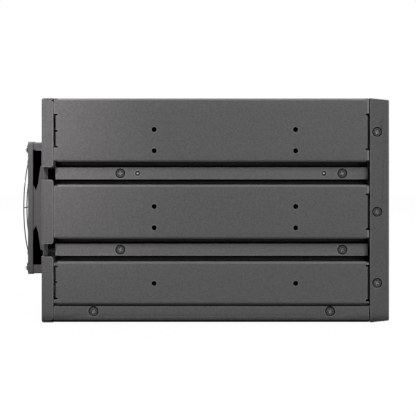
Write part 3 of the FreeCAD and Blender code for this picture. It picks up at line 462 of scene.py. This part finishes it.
def newTree(name, look, *keys):
    # a geometry tree with an input for each of these keys of a piece's look
    tree = bpy.data.node_groups.new(name, "GeometryNodeTree")
    for side in ("INPUT", "OUTPUT"):
        tree.interface.new_socket("Geometry", in_out=side, socket_type="NodeSocketGeometry")
    tree.interface.new_socket("Material", in_out="INPUT", socket_type="NodeSocketMaterial")
    for key in keys:
        kind = "NodeSocketInt" if isinstance(look[key], int) else "NodeSocketFloat"
        socket = tree.interface.new_socket(labelOf(key), in_out="INPUT", socket_type=kind)
        socket.default_value = look[key]
    return tree, tree.nodes.new("NodeGroupInput"), tree.nodes.new("NodeGroupOutput")


def addNode(tree, kind, settings=None, **links):
    node = tree.nodes.new(kind)
    for label, value in (settings or {}).items():
        setattr(node, label, value)
    for label, value in links.items():
        socket = node.inputs[label.replace("_", " ")]
        if hasattr(value, "is_output"):
            tree.links.new(value, socket)
        else:
            socket.default_value = value
    return node


def closeTree(tree, inner, outer, geometry):
    # every tree ends by realizing its instances and setting its material
    realized = addNode(tree, "GeometryNodeRealizeInstances", Geometry=geometry)
    painted = addNode(tree, "GeometryNodeSetMaterial", Geometry=realized.outputs[0],
                      Material=inner.outputs["Material"])
    tree.links.new(painted.outputs[0], outer.inputs[0])


def dropFlaps(mesh):
    # merges what lies in one place and drops the folded slivers that a boolean leaves
    bm = bmesh.new()
    bm.from_mesh(mesh)
    bmesh.ops.remove_doubles(bm, verts=bm.verts, dist=mergeGap)
    bmesh.ops.triangulate(bm, faces=bm.faces)
    bmesh.ops.dissolve_degenerate(bm, edges=bm.edges, dist=mergeGap)
    twins = {}
    for face in bm.faces:
        twins.setdefault(frozenset(face.verts), []).append(face)
    flaps = [face for faces in twins.values() if len(faces) > 1 for face in faces]
    bmesh.ops.delete(bm, geom=flaps, context="FACES")
    bm.to_mesh(mesh)
    bm.free()


def growPiece(name, seedMesh, tree, look, slot):
    # runs a tree on a seed mesh and keeps the plain mesh that comes out
    seed = meshObject(name + "Seed", seedMesh)
    modifier = seed.modifiers.new("grow", "NODES")
    modifier.node_group = tree
    values = {labelOf(key): value for key, value in look.items()}
    values["Material"] = finishes[slot]
    for item in tree.interface.items_tree:
        if item.in_out == "INPUT" and item.name in values:
            modifier[item.identifier] = values[item.name]
    graph = bpy.context.evaluated_depsgraph_get()
    mesh = bpy.data.meshes.new_from_object(seed.evaluated_get(graph), depsgraph=graph)
    mesh.name = name
    dropFlaps(mesh)
    seed.modifiers.remove(modifier)
    bpy.data.objects.remove(seed)
    if not mesh.materials:
        mesh.materials.append(finishes[slot])
    return meshObject(name, mesh)


def pointMesh(name, places, facings):
    mesh = bpy.data.meshes.new(name)
    mesh.from_pydata([tuple(place) for place in places], [], [])
    attribute = mesh.attributes.new("facing", "FLOAT_VECTOR", "POINT")
    attribute.data.foreach_set("vector", [value for facing in facings for value in facing])
    return mesh


# axis is the one that the screws lie along, proud what stands out of the surface, and a drop is a share of
# a part's length that keeps it lapping over its neighbour
screwLook = {
    "axis": 1, "headRadius": 2.25 * mm, "coneDepth": 0.95 * mm, "shankRadius": 1.4 * mm,
    "shankLength": 2.6 * mm,
    "recessReach": 1.35 * mm, "recessWidth": 0.66 * mm, "recessDepth": 0.85 * mm, "sunk": 0.12 * mm,
    "sides": 40, "shankDrop": 0.51,
}
starLook = {"recessReach": 1.15 * mm, "recessWidth": 0.62 * mm, "recessDepth": 0.25 * mm, "sunk": 0.4 * mm}
panLook = {
    "axis": 0, "headRadius": 2.5 * mm, "headHeight": 1.0 * mm, "crownRadius": 1.7 * mm,
    "crownHeight": 0.5 * mm,
    "recessReach": 1.3 * mm, "recessWidth": 0.6 * mm, "recessDepth": 1.0 * mm, "shankRadius": 1.4 * mm,
    "shankLength": 3.0 * mm, "sides": 32, "shankDrop": 0.49, "crownDrop": 0.999,
}
fanScrewLook = {
    **panLook, "shankLength": 16.5 * mm, "headHeight": 0.5 * mm, "crownHeight": 0.4 * mm,
    "headRadius": 2.3 * mm, "recessDepth": 0.7 * mm, "proud": 1.6 * mm,
}
boardScrewLook = {
    **panLook, "side": 1.0, "shankLength": 1.5 * mm, "headRadius": 2.6 * mm, "headHeight": 1.2 * mm,
    "proud": 1.8 * mm,
}
pinLook = {
    "axis": 1, "radius": 0.62 * mm, "sunk": 0.1 * mm, "length": 2.4 * mm, "tip": 0.18 * mm, "tipTaper": 0.7,
    "sides": 24,
}
spinSeed = 4  # of the random turn of each cross recess


def scaled(tree, value, factor):
    return mathNode(tree, "MULTIPLY", value, factor)


def shiftedUp(tree, geometry, height):
    # moves a geometry along its own axis
    lift = addNode(tree, "ShaderNodeCombineXYZ", Z=height)
    return addNode(tree, "GeometryNodeTransform", Geometry=geometry, Translation=lift.outputs[0]).outputs[0]


def joined(tree, *solids):
    union = addNode(tree, "GeometryNodeMeshBoolean", {"operation": "UNION"})
    for solid in solids:
        tree.links.new(solid, union.inputs["Mesh 2"])
    return union.outputs[0]


def disc(tree, look, radius, depth):
    node = addNode(tree, "GeometryNodeMeshCylinder", Vertices=look["sides"], Radius=radius, Depth=depth)
    return node.outputs["Mesh"]


def cone(tree, look, topRadius, bottomRadius, depth):
    node = addNode(tree, "GeometryNodeMeshCone", Vertices=look["sides"], Radius_Top=topRadius,
                   Radius_Bottom=bottomRadius, Depth=depth)
    return node.outputs["Mesh"]


def crossBars(tree, inner):
    # the two bars of a cross, as long and wide as its recess
    bars = []
    for turn in (0.0, quarterTurn):
        size = addNode(tree, "ShaderNodeCombineXYZ", X=scaled(tree, inner.outputs["Recess Reach"], 2.0),
                       Y=inner.outputs["Recess Width"], Z=scaled(tree, inner.outputs["Recess Depth"], 2.0))
        bar = addNode(tree, "GeometryNodeMeshCube", Size=size.outputs[0])
        turned = addNode(tree, "GeometryNodeTransform", Geometry=bar.outputs["Mesh"],
                         Rotation=(0.0, 0.0, turn))
        bars.append(turned.outputs[0])
    return bars


def crossCut(tree, solid, inner, topHeight):
    # a cross recess sunk from the top of a head
    cut = addNode(tree, "GeometryNodeMeshBoolean", {"operation": "DIFFERENCE"})
    tree.links.new(solid, cut.inputs["Mesh 1"])
    for bar in crossBars(tree, inner):
        tree.links.new(shiftedUp(tree, bar, topHeight), cut.inputs["Mesh 2"])
    return cut.outputs[0]


def onEachPoint(tree, inner, outer, geometry, turnMost=quarterTurn):
    # one copy on each point, turned to its facing and spun by a fixed random amount about it
    facing = addNode(tree, "GeometryNodeInputNamedAttribute", {"data_type": "FLOAT_VECTOR"}, Name="facing")
    aligned = addNode(tree, "FunctionNodeAlignRotationToVector", {"axis": "Z"},
                      Vector=facing.outputs["Attribute"])
    spin = addNode(tree, "FunctionNodeRandomValue", {"data_type": "FLOAT"}, Seed=spinSeed)
    for socket in spin.inputs:
        if socket.name == "Max" and socket.type == "VALUE":
            socket.default_value = turnMost
    spun = addNode(tree, "FunctionNodeAxisAngleToRotation", Axis=(0.0, 0.0, 1.0), Angle=spin.outputs[1])
    both = addNode(tree, "FunctionNodeRotateRotation", {"rotation_space": "LOCAL"},
                   Rotation=aligned.outputs[0], Rotate_By=spun.outputs[0])
    placed = addNode(tree, "GeometryNodeInstanceOnPoints", Points=inner.outputs["Geometry"],
                     Instance=geometry, Rotation=both.outputs[0])
    closeTree(tree, inner, outer, placed.outputs[0])


def makeScrewTree():
    # countersunk head with a cross recess
    look = screwLook
    tree, inner, outer = newTree("crossScrew", look, "headRadius", "coneDepth", "shankRadius", "shankLength",
                                 "sunk", "recessReach", "recessWidth", "recessDepth")
    size = inner.outputs
    head = cone(tree, look, size["Head Radius"], size["Shank Radius"], size["Cone Depth"])
    shank = disc(tree, look, size["Shank Radius"], size["Shank Length"])
    solid = joined(tree, shiftedUp(tree, head, scaled(tree, size["Cone Depth"], -1.0)),
                   shiftedUp(tree, shank, scaled(tree, size["Shank Length"], -look["shankDrop"])))
    cut = crossCut(tree, solid, inner, 0.0)
    onEachPoint(tree, inner, outer, shiftedUp(tree, cut, scaled(tree, size["Sunk"], -1.0)))
    return tree


def makePanTree():
    # pan head that stands on its surface, with a chamfered crown, a cross recess and a shank below
    look = panLook
    tree, inner, outer = newTree("panScrew", look, "headRadius", "headHeight", "crownRadius", "crownHeight",
                                 "shankRadius", "shankLength", "recessReach", "recessWidth", "recessDepth")
    size = inner.outputs
    head = disc(tree, look, size["Head Radius"], size["Head Height"])
    crown = cone(tree, look, size["Crown Radius"], size["Head Radius"], size["Crown Height"])
    shank = disc(tree, look, size["Shank Radius"], size["Shank Length"])
    solid = joined(tree, shiftedUp(tree, head, scaled(tree, size["Head Height"], 0.5)),
                   shiftedUp(tree, crown, scaled(tree, size["Head Height"], look["crownDrop"])),
                   shiftedUp(tree, shank, scaled(tree, size["Shank Length"], -look["shankDrop"])))
    top = mathNode(tree, "ADD", size["Head Height"], size["Crown Height"])
    onEachPoint(tree, inner, outer, crossCut(tree, solid, inner, top))
    return tree


def makeStarTree():
    # a painted glint at the bottom of a cross recess: a light cross that stands in for the light the recess
    # catches
    tree, inner, outer = newTree("recessStar", starLook, "recessReach", "recessWidth", "recessDepth", "sunk")
    star = joined(tree, *crossBars(tree, inner))
    depth = mathNode(tree, "ADD", inner.outputs["Sunk"], inner.outputs["Recess Depth"])
    onEachPoint(tree, inner, outer, shiftedUp(tree, star, scaled(tree, depth, -1.0)))
    return tree


def makePinTree():
    # plain pin with a chamfered end, set a little below its surface
    look = pinLook
    tree, inner, outer = newTree("dowelPin", look, "radius", "length", "tip", "sunk")
    size = inner.outputs
    body = disc(tree, look, size["Radius"], size["Length"])
    tip = cone(tree, look, scaled(tree, size["Radius"], look["tipTaper"]), size["Radius"], size["Tip"])
    pin = joined(tree, shiftedUp(tree, body, scaled(tree, size["Length"], -0.5)),
                 shiftedUp(tree, tip, -placeGap))
    depth = mathNode(tree, "ADD", size["Sunk"], size["Tip"])
    onEachPoint(tree, inner, outer, shiftedUp(tree, pin, scaled(tree, depth, -1.0)), 0.0)
    return tree


screwTree = makeScrewTree()
starTree = makeStarTree()
panTree = makePanTree()


def facingOf(low, high, look):
    # outwards along the look's axis, or to the one side that it names
    axis = look["axis"]
    facing = Vector((0.0, 0.0, 0.0))
    away = low[axis] + high[axis] - cadBox[0][axis] - cadBox[1][axis]
    facing[axis] = look.get("side", math.copysign(1.0, away))
    return facing


def outerFace(low, high, facing):
    place = (low + high) / 2
    for axis, step in enumerate(facing):
        if step:
            place[axis] = high[axis] if step > 0 else low[axis]
    return place


def growFasteners(name, node, tree, look, finish=None):
    places = []
    facings = []
    for low, high in islands(node):
        facing = facingOf(low, high, look)
        facings.append(facing)
        places.append(outerFace(low, high, facing) - facing * look.get("proud", 0.0))
    piece = growPiece(name, pointMesh(name + "Points", places, facings), tree, look, finish or slotOf[node])
    smoothShade(piece)
    finishPiece(piece, "cage", slotOf[node], node)
    if tree == screwTree:
        # a painted glint in each cross recess
        starPoints = pointMesh(name + "StarPoints", places, facings)
        stars = growPiece(name + "Stars", starPoints, starTree, starLook, "recess_glint")
        finishPiece(stars, "cage", slotOf[node], node)


growFasteners("stripScrews", "strip_screws", screwTree, screwLook)
growFasteners("bezelScrews", "bezel_screws", screwTree, screwLook)
growFasteners("baseScrews", "base_screws", screwTree, screwLook)
growFasteners("rearCoverScrews", "rear_cover_screws", screwTree, {**screwLook, "axis": 2})
growFasteners("fanScrews", "fan_screws", panTree, fanScrewLook, "fan_screw_nickel")
growFasteners("boardScrews", "backplane_screws", panTree, boardScrewLook)
print("screws made")

# a well is as deep as depth, and its corners stand this share of the countersink's radius from its middle
wellLook = {"rimRadius": 2.9 * mm, "radius": 2.65 * mm, "depth": 1.3 * mm, "nearest": 0.4, "farthest": 1.03}
holeBand = 0.1  # the share of a bay hole's radius within which a corner is on its edge


def openWells(bm, screwNode):
    # opens the countersunk holes into wells a little wider than the heads that lie in them
    for low, high in islands(screwNode):
        facing = facingOf(low, high, screwLook)
        rim = outerFace(low, high, facing)
        nearest = wellLook["nearest"] * (high.x - low.x) / 2
        farthest = wellLook["farthest"] * (high.x - low.x) / 2
        for vert in bm.verts:
            depth = (rim - vert.co).dot(facing)
            arm = vert.co - rim + facing * depth
            if -placeGap < depth < wellLook["depth"] and nearest < arm.length < farthest:
                reach = wellLook["rimRadius"] if depth < placeGap else wellLook["radius"]
                vert.co = rim - facing * depth + arm.normalized() * reach


def openJoints(bm, joints):
    # draws the corners that lie between two places on an axis along it, so that the joint beside them shows
    for vert in bm.verts:
        for axis, start, end, shift in joints:
            if start - placeGap < vert.co[axis] < end + placeGap:
                vert.co[axis] += shift
                break


def openSlits(bm, end, side, grow):
    # makes the relief slits beside the end tabs taller
    heights = sorted({round(vert.co.z, placeDigits) for vert in bm.verts if abs(vert.co.x - end) < placeGap})
    for number, pair in enumerate(zip(heights[::2], heights[1::2])):
        upper = number % 2
        for vert in bm.verts:
            if abs(vert.co.z - pair[upper]) < placeGap and (vert.co.x - end) * side > -placeGap:
                vert.co.z += grow if upper else -grow


def holeOffsets(size):
    # from the middle of one bay's holes to each hole; a bay with a single row has no second spacing
    for alongX in (-0.5, 0.5):
        for alongZ in (-0.5, 0.5):
            yield Vector((alongX * size["spacing_x_mm"], 0.0, alongZ * size.get("spacing_y_mm", 0.0))) * mm


def openBayHoles(bm, grow):
    # widens the tapped side holes to the crest of their thread
    for mount in record["mounts"]:
        if not mount["name"].endswith("bay_holes"):
            continue
        middle = Vector(mount["pos_m"])
        radius = mount["dims"]["hole_r_mm"] * mm
        for offset in holeOffsets(mount["dims"]):
            for vert in bm.verts:
                arm = vert.co - middle - offset
                inward = abs(arm.y)
                arm.y = 0.0
                if inward < radius and abs(arm.length - radius) < holeBand * radius:
                    vert.co += arm.normalized() * grow


def dressed(node, body, look):
    # a merged, smoothly shaded stand-in for a CAD node, with its edges broken by a small bevel
    bm = mergedCopy(node)
    if "screwNode" in look:
        openWells(bm, look["screwNode"])
    for end, side, grow in look.get("slits", ()):
        openSlits(bm, end, side, grow)
    if "holes" in look:
        openBayHoles(bm, look["holes"])
    openJoints(bm, look.get("joints", ()))
    if look.get("flatten", True):
        flat = math.radians(softLook["flatAngle"])
        bmesh.ops.dissolve_limit(bm, angle_limit=flat, verts=bm.verts, edges=bm.edges)
    piece = fromBmesh("dressed_" + node, bm)
    smoothShade(piece)
    modifier = piece.modifiers.new("softEdge", "BEVEL")
    modifier.width = look["bevel"]
    modifier.segments = softLook["segments"]
    modifier.limit_method = "ANGLE"
    modifier.angle_limit = math.radians(softLook["bevelAngle"])
    modifier.harden_normals = True
    finishPiece(piece, body, slotOf[node], node)


jointShow = 0.35 * mm
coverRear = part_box("bottom_cover")[0].x
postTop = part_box("fan_frame")[0].z + 4.85 * mm  # upper side of the fan's lower posts
endJoints = [(0, coverRear, coverRear, jointShow), (0, shellFront, shellFront, -jointShow)]
tabBend = (0, shellFront - 1.15 * mm, shellFront - 0.05 * mm, -0.55 * mm)  # outer rounding of the front tabs
frontSlitEnd = shellFront - 1.9 * mm
rearSlitEnd = shellRear + 2.2 * mm
stripLook = {"bevel": 0.12 * mm, "screwNode": "strip_screws"}
caseLooks = {
    "left_upper_strip": stripLook,
    "left_lower_strip": stripLook,
    "right_upper_strip": stripLook,
    "right_lower_strip": stripLook,
    "bottom_cover": {
        "bevel": 0.1 * mm, "screwNode": "base_screws",
        "joints": endJoints + [(2, baseTop, baseTop, -jointShow)],
    },
    "front_bezel": {"bevel": 0.15 * mm, "screwNode": "bezel_screws"},
    "housing_shell": {
        "bevel": 0.1 * mm, "joints": endJoints + [tabBend, (0, frontSlitEnd, frontSlitEnd, -0.35 * mm)],
        "holes": 0.22 * mm, "slits": [(frontSlitEnd, 1, 0.35 * mm), (rearSlitEnd, -1, 0.2 * mm)],
    },
    "fan_frame": {"bevel": 0.12 * mm, "joints": [(2, postTop, postTop, 0.9 * mm)]},
    "rear_cover": {"bevel": 0.1 * mm},
    "upper_guide_plate": {"bevel": 0.2 * mm},
    "lower_guide_plate": {"bevel": 0.2 * mm},
    "drive_connectors": {"bevel": 0.15 * mm},
    "data_connectors": {"bevel": 0.12 * mm},
    "power_connectors": {"bevel": 0.15 * mm},
}
trayLooks = {
    "sled": {"body": "tray_", "bevel": 0.25 * mm},
    "front": {"body": "tray_", "bevel": 0.12 * mm, "flatten": False},
    "lever": {"body": "lever_", "bevel": 0.25 * mm},
    "release_button": {"body": "button_", "bevel": 0.25 * mm},
}
trayCount = 5
for node, look in caseLooks.items():
    dressed(node, "cage", look)
for number in range(1, trayCount + 1):
    for part, look in trayLooks.items():
        dressed(f"tray_{number}_{part}", look["body"] + str(number), look)
print("case and trays dressed")

growFasteners("locatingPins", "locating_pins", makePinTree(), pinLook)
print("pins made")

guardLook = {
    "wireRadius": 0.34 * mm, "sides": 10, "rings": 4, "ringPitch": 8.0 * mm, "standOff": 2.95 * mm,
    "corners": 4, "eyeRadius": 3.0 * mm, "eyePoints": 28, "eyeGap": 0.09 * mm, "ringPoints": 96,
    "legPoints": 14, "fanBore": 38.0 * mm, "holeSpacing": 71.5 * mm,
}


def makeWireTree():
    # round wire along every edge path of the seed
    tree, inner, outer = newTree("bentWire", guardLook, "wireRadius", "sides")
    path = addNode(tree, "GeometryNodeMeshToCurve", Mesh=inner.outputs["Geometry"])
    section = addNode(tree, "GeometryNodeCurvePrimitiveCircle", Resolution=inner.outputs["Sides"],
                      Radius=inner.outputs["Wire Radius"])
    wire = addNode(tree, "GeometryNodeCurveToMesh", Curve=path.outputs[0],
                   Profile_Curve=section.outputs["Curve"], Fill_Caps=True)
    smooth = addNode(tree, "GeometryNodeSetShadeSmooth", Geometry=wire.outputs[0])
    closeTree(tree, inner, outer, smooth.outputs[0])
    return tree


def aroundFan(x, reach, sideways, angle):
    # a point at this distance from the fan's axis, and beside the arm that leads to it
    out = Vector((0.0, math.sin(angle), math.cos(angle)))
    across = Vector((0.0, math.cos(angle), -math.sin(angle)))
    return Vector((x, 0.0, fanHeight)) + out * reach + across * sideways


def guardPaths():
    # the middles of the wires, with True where a wire closes on itself
    look = guardLook
    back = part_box("fan_frame")[0].x
    ringX = back - look["standOff"]
    bore = look["fanBore"]
    steps = look["ringPoints"]
    paths = []
    for number in range(look["rings"]):
        reach = bore - number * look["ringPitch"]
        ring = [aroundFan(ringX, reach, 0.0, 2 * math.pi * step / steps) for step in range(steps)]
        paths.append((ring, True))
    for angle in (0.0, quarterTurn):
        paths.append(([aroundFan(ringX, reach, 0.0, angle) for reach in (-bore, 0.0, bore)], False))
    eyeX = back - look["wireRadius"] - look["eyeGap"]
    eyeReach = look["holeSpacing"] / math.sqrt(2)
    legEnd = eyeReach - look["eyeRadius"]
    for corner in range(look["corners"]):
        angle = (corner + 0.5) * quarterTurn
        leg = []
        for step in range(look["legPoints"]):
            along = step / (look["legPoints"] - 1)
            drop = along * along * (3 - 2 * along)  # level at both ends
            leg.append(aroundFan(ringX + (eyeX - ringX) * drop, bore + (legEnd - bore) * along, 0.0, angle))
        for step in range(1, look["eyePoints"]):
            turn = 2 * math.pi * step / look["eyePoints"]
            reach = eyeReach - look["eyeRadius"] * math.cos(turn)
            leg.append(aroundFan(eyeX, reach, look["eyeRadius"] * math.sin(turn), angle))
        paths.append((leg, False))
    return paths


def pathMesh(name, paths):
    points = []
    edges = []
    for path, closed in paths:
        start = len(points)
        points += [tuple(point) for point in path]
        edges += [(start + n, start + n + 1) for n in range(len(path) - 1)]
        if closed:
            edges.append((start + len(path) - 1, start))
    mesh = bpy.data.meshes.new(name)
    mesh.from_pydata(points, edges, [])
    return mesh


guard = growPiece("fanGuard", pathMesh("guardPaths", guardPaths()), makeWireTree(), guardLook, "guard_steel")
finishPiece(guard, "cage", "guard_steel", "fan_guard")
print("fan guard made")

rotorLook = {
    "bladeCount": 7, "axisHeight": fanHeight, "rootRadius": 14.9 * mm, "tipRadius": 37.1 * mm,
    "rootChord": 10.4 * mm, "tipChord": 15.6 * mm, "rootPitch": 50.0, "tipPitch": 27.0,
    "rootThickness": 1.7 * mm, "tipThickness": 0.9 * mm, "noseFullness": 1.1, "tailTaper": 0.3,
    "rootCamber": 1.3 * mm, "tipCamber": 1.9 * mm, "sweep": 9.0, "sweepMiddle": 0.35, "sections": 12,
    "chordPoints": 10, "tipRounding": 0.16, "roundFrom": 0.8, "roundPower": 3, "hubRadius": 15.5 * mm,
    "hubWall": 1.4 * mm, "hubEdge": 1.6 * mm, "edgeSteps": 6, "hubSides": 96, "domeRise": 0.25 * mm,
    "domeShoulder": 0.12 * mm, "shaftRadius": 1.5 * mm, "shaftProud": 1.0 * mm, "smoothAngle": 40.0,
}


def bladeSection(share, centreX):
    # one section of a blade, at this share of the way from root to tip
    look = rotorLook

    def between(first, second):
        return look[first] + (look[second] - look[first]) * share

    radius = between("rootRadius", "tipRadius")
    thickness = between("rootThickness", "tipThickness")
    camber = between("rootCamber", "tipCamber")
    pitch = math.radians(between("rootPitch", "tipPitch"))
    rounding = max(0.0, (share - look["roundFrom"]) / (1 - look["roundFrom"])) ** look["roundPower"]
    chord = between("rootChord", "tipChord") * (1 - look["tipRounding"] * rounding)
    lean = math.radians(look["sweep"]) * (share * share - look["sweepMiddle"])
    count = look["chordPoints"]
    section = []
    for point in range(2 * count):
        upper = point < count
        along = point / count if upper else 2 - point / count
        arch = along * (1 - along)
        bow = 4 * camber * arch
        half = thickness * math.sqrt(max(0.0, arch)) * (look["noseFullness"] - look["tailTaper"] * along)
        side = bow - camber / 2 + (half if upper else -half)
        offset = (along - 0.5) * chord
        x = centreX + offset * math.sin(pitch) - side * math.cos(pitch)
        turn = lean + (offset * math.cos(pitch) + side * math.sin(pitch)) / radius
        section.append((x, radius * math.sin(turn), radius * math.cos(turn)))
    return section


def bladeMesh():
    # a cambered, swept and slightly rounded blade that stands up from the fan's axis
    low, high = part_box("fan_rotor")
    centreX = (low.x + rotorLook["shaftProud"] + high.x) / 2
    bm = bmesh.new()
    rows = []
    for number in range(rotorLook["sections"] + 1):
        section = bladeSection(number / rotorLook["sections"], centreX)
        rows.append([bm.verts.new(point) for point in section])
    for first, second in zip(rows, rows[1:]):
        for n in range(len(first)):
            after = (n + 1) % len(first)
            bm.faces.new((first[n], first[after], second[after], second[n]))
    bm.faces.new(rows[0][::-1])
    bm.faces.new(rows[-1])
    bmesh.ops.recalc_face_normals(bm, faces=bm.faces)
    mesh = bpy.data.meshes.new("fanBlade")
    bm.to_mesh(mesh)
    bm.free()
    return mesh


def makeWheelTree():
    # the seed blade repeated round the axis
    tree, inner, outer = newTree("bladeWheel", rotorLook, "bladeCount", "axisHeight")
    place = addNode(tree, "ShaderNodeCombineXYZ", Z=inner.outputs["Axis Height"])
    points = addNode(tree, "GeometryNodePoints", Count=inner.outputs["Blade Count"],
                     Position=place.outputs[0])
    index = addNode(tree, "GeometryNodeInputIndex")
    share = mathNode(tree, "DIVIDE", index.outputs[0], inner.outputs["Blade Count"])
    turn = addNode(tree, "FunctionNodeAxisAngleToRotation", Axis=(1.0, 0.0, 0.0),
                   Angle=mathNode(tree, "MULTIPLY", share, 2 * math.pi))
    wheel = addNode(tree, "GeometryNodeInstanceOnPoints", Points=points.outputs[0],
                    Instance=inner.outputs["Geometry"], Rotation=turn.outputs[0])
    closeTree(tree, inner, outer, wheel.outputs[0])
    return tree


def hubProfile(low, high):
    # outline of the open cup, from its domed face over the rim and the inside to the shaft's end
    look = rotorLook
    radius = look["hubRadius"]
    edge = look["hubEdge"]
    floor = high.x - look["hubWall"]
    shaft = look["shaftRadius"]
    back = low.x + look["shaftProud"]
    profile = [(high.x - look["domeRise"], 0.0), (high.x - look["domeShoulder"], radius / 2),
               (high.x, radius - edge)]
    for step in range(1, look["edgeSteps"] + 1):
        turn = quarterTurn * step / look["edgeSteps"]
        profile.append((high.x - edge * (1 - math.cos(turn)), radius - edge * (1 - math.sin(turn))))
    profile += [(back, radius), (back, radius - look["hubWall"]), (floor, radius - look["hubWall"]),
                (floor, shaft), (low.x, shaft), (low.x, 0.0)]
    return profile


def makeRotor():
    low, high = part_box("fan_rotor")
    blades = growPiece("fanBlades", bladeMesh(), makeWheelTree(), rotorLook, "rotor_plastic")
    bm = bmesh.new()
    ring = [bm.verts.new((x, 0.0, reach)) for x, reach in hubProfile(low, high)]
    edges = [bm.edges.new(pair) for pair in zip(ring, ring[1:])]
    bmesh.ops.spin(bm, geom=ring + edges, cent=(0, 0, 0), axis=(1, 0, 0), angle=2 * math.pi,
                   steps=rotorLook["hubSides"])
    bmesh.ops.remove_doubles(bm, verts=bm.verts, dist=mergeGap)
    bmesh.ops.translate(bm, verts=bm.verts, vec=(0.0, 0.0, fanHeight))
    bmesh.ops.recalc_face_normals(bm, faces=bm.faces)
    bm.from_mesh(blades.data)
    bpy.data.objects.remove(blades)
    rotor = fromBmesh("fanRotor", bm)
    smoothShade(rotor, rotorLook["smoothAngle"])
    finishPiece(rotor, "rotor", "rotor_plastic", "fan_rotor")


makeRotor()
print("fan rotor made")

cameraLook = {
    "lens": 66.47, "sensor": 36.0, "shift": (0.007, -0.0735), "distance": 0.430, "alongX": -0.0057,
    "height": 0.0812, "nearest": 0.01,
}


def makeCamera():
    look = cameraLook
    data = bpy.data.cameras.new("viewCamera")
    data.lens = look["lens"]
    data.sensor_width = look["sensor"]
    data.shift_x, data.shift_y = look["shift"]
    data.clip_start = look["nearest"]
    camera = meshObject("viewCamera", data)
    camera.location = (look["alongX"], cadBox[0].y - look["distance"], look["height"])
    camera.rotation_euler = (quarterTurn, 0.0, 0.0)
    bpy.context.scene.camera = camera


warm = (1.0, 0.94, 0.965)
poolPlace = (-0.35, -0.6, 0.75)
caseMiddle = (0.0, 0.0, 0.06)
lampLooks = {
    "poolCore": {
        "place": poolPlace, "aim": (-0.12, -0.07, 0.125), "cone": 9.0, "size": 0.03, "watts": 34.0,
        "colour": warm,
    },
    "poolEdge": {
        "place": poolPlace, "aim": (-0.08, -0.07, 0.09), "cone": 11.0, "size": 0.03, "watts": 6.0,
        "colour": warm,
    },
    "highKey": {"place": (0.45, -0.85, 1.1), "aim": caseMiddle, "size": 0.4, "watts": 12.0},
    "nearKey": {"place": (0.05, -0.45, 0.75), "aim": caseMiddle, "size": 0.25, "watts": 1.6},
    "topLamp": {"place": (0.0, 0.15, 1.2), "aim": caseMiddle, "size": 0.6, "watts": 8.0},
    "rearLamp": {"place": (-0.9, 0.9, 0.7), "aim": caseMiddle, "size": 0.8, "watts": 10.0},
    "frontLamp": {"place": (1.2, 0.3, 0.5), "aim": caseMiddle, "size": 0.9, "watts": 10.0},
}


def makeLamps():
    # a lamp with a cone is a spot, and any other is a square panel
    for name, look in lampLooks.items():
        data = bpy.data.lights.new(name, "SPOT" if "cone" in look else "AREA")
        data.energy = look["watts"]
        data.color = look.get("colour", white)
        if "cone" in look:
            data.spot_size = math.radians(look["cone"])
            data.spot_blend = 1.0
            data.shadow_soft_size = look["size"]
        else:
            data.shape = "SQUARE"
            data.size = look["size"]
        lamp = meshObject(name, data)
        lamp.location = look["place"]
        aim = Vector(look["aim"]) - Vector(look["place"])
        lamp.rotation_euler = aim.to_track_quat("-Z", "Y").to_euler()


worldLook = {"colour": (0.95, 0.97, 1.0), "strength": 0.03}
floorLook = {"halfSize": 3.0, "colour": (0.2, 0.2, 0.2), "roughness": 0.9, "whiteness": 0.93, "glow": 1.05}


def seenDirectly(tree):
    # 1 for what the camera, a gloss or a clear part looks at, and 0 for the light that surfaces pass on
    path = tree.nodes.new("ShaderNodeLightPath")
    seen = mathNode(tree, "MAXIMUM", path.outputs["Is Camera Ray"], path.outputs["Is Glossy Ray"])
    return mathNode(tree, "MAXIMUM", seen, path.outputs["Is Transmission Ray"])


def mixShaders(tree, factor, first, second, target):
    mix = tree.nodes.new("ShaderNodeMixShader")
    for socket, source in zip(mix.inputs, (factor, first, second)):
        tree.links.new(source, socket)
    tree.links.new(mix.outputs[0], tree.nodes[target].inputs["Surface"])


def makeWorld():
    world = bpy.data.worlds.new("studio")
    world.use_nodes = True
    bpy.context.scene.world = world
    tree = world.node_tree
    base = tree.nodes["Background"]
    base.inputs["Color"].default_value = (*worldLook["colour"], 1.0)
    base.inputs["Strength"].default_value = worldLook["strength"]
    backdrop = tree.nodes.new("ShaderNodeBackground")
    backdrop.inputs["Color"].default_value = (*white, 1.0)
    backdrop.inputs["Strength"].default_value = 1.0
    mixShaders(tree, seenDirectly(tree), base.outputs[0], backdrop.outputs[0], "World Output")


def makeFloor():
    bm = bmesh.new()
    bmesh.ops.create_grid(bm, x_segments=1, y_segments=1, size=floorLook["halfSize"])
    floor = fromBmesh("floor", bm)
    material = bpy.data.materials.new("floorPaper")
    material.use_nodes = True
    tree = material.node_tree
    shader = tree.nodes["Principled BSDF"]
    shader.inputs["Base Color"].default_value = (*floorLook["colour"], 1.0)
    shader.inputs["Roughness"].default_value = floorLook["roughness"]
    glow = tree.nodes.new("ShaderNodeEmission")
    glow.inputs["Color"].default_value = (*white, 1.0)
    glow.inputs["Strength"].default_value = floorLook["glow"]
    whiter = mathNode(tree, "MULTIPLY", seenDirectly(tree), floorLook["whiteness"])
    mixShaders(tree, whiter, shader.outputs[0], glow.outputs[0], "Material Output")
    floor.data.materials.append(material)


makeCamera()
makeLamps()
makeWorld()
makeFloor()
bpy.context.scene.view_settings.view_transform = "Standard"
print("camera and light set")
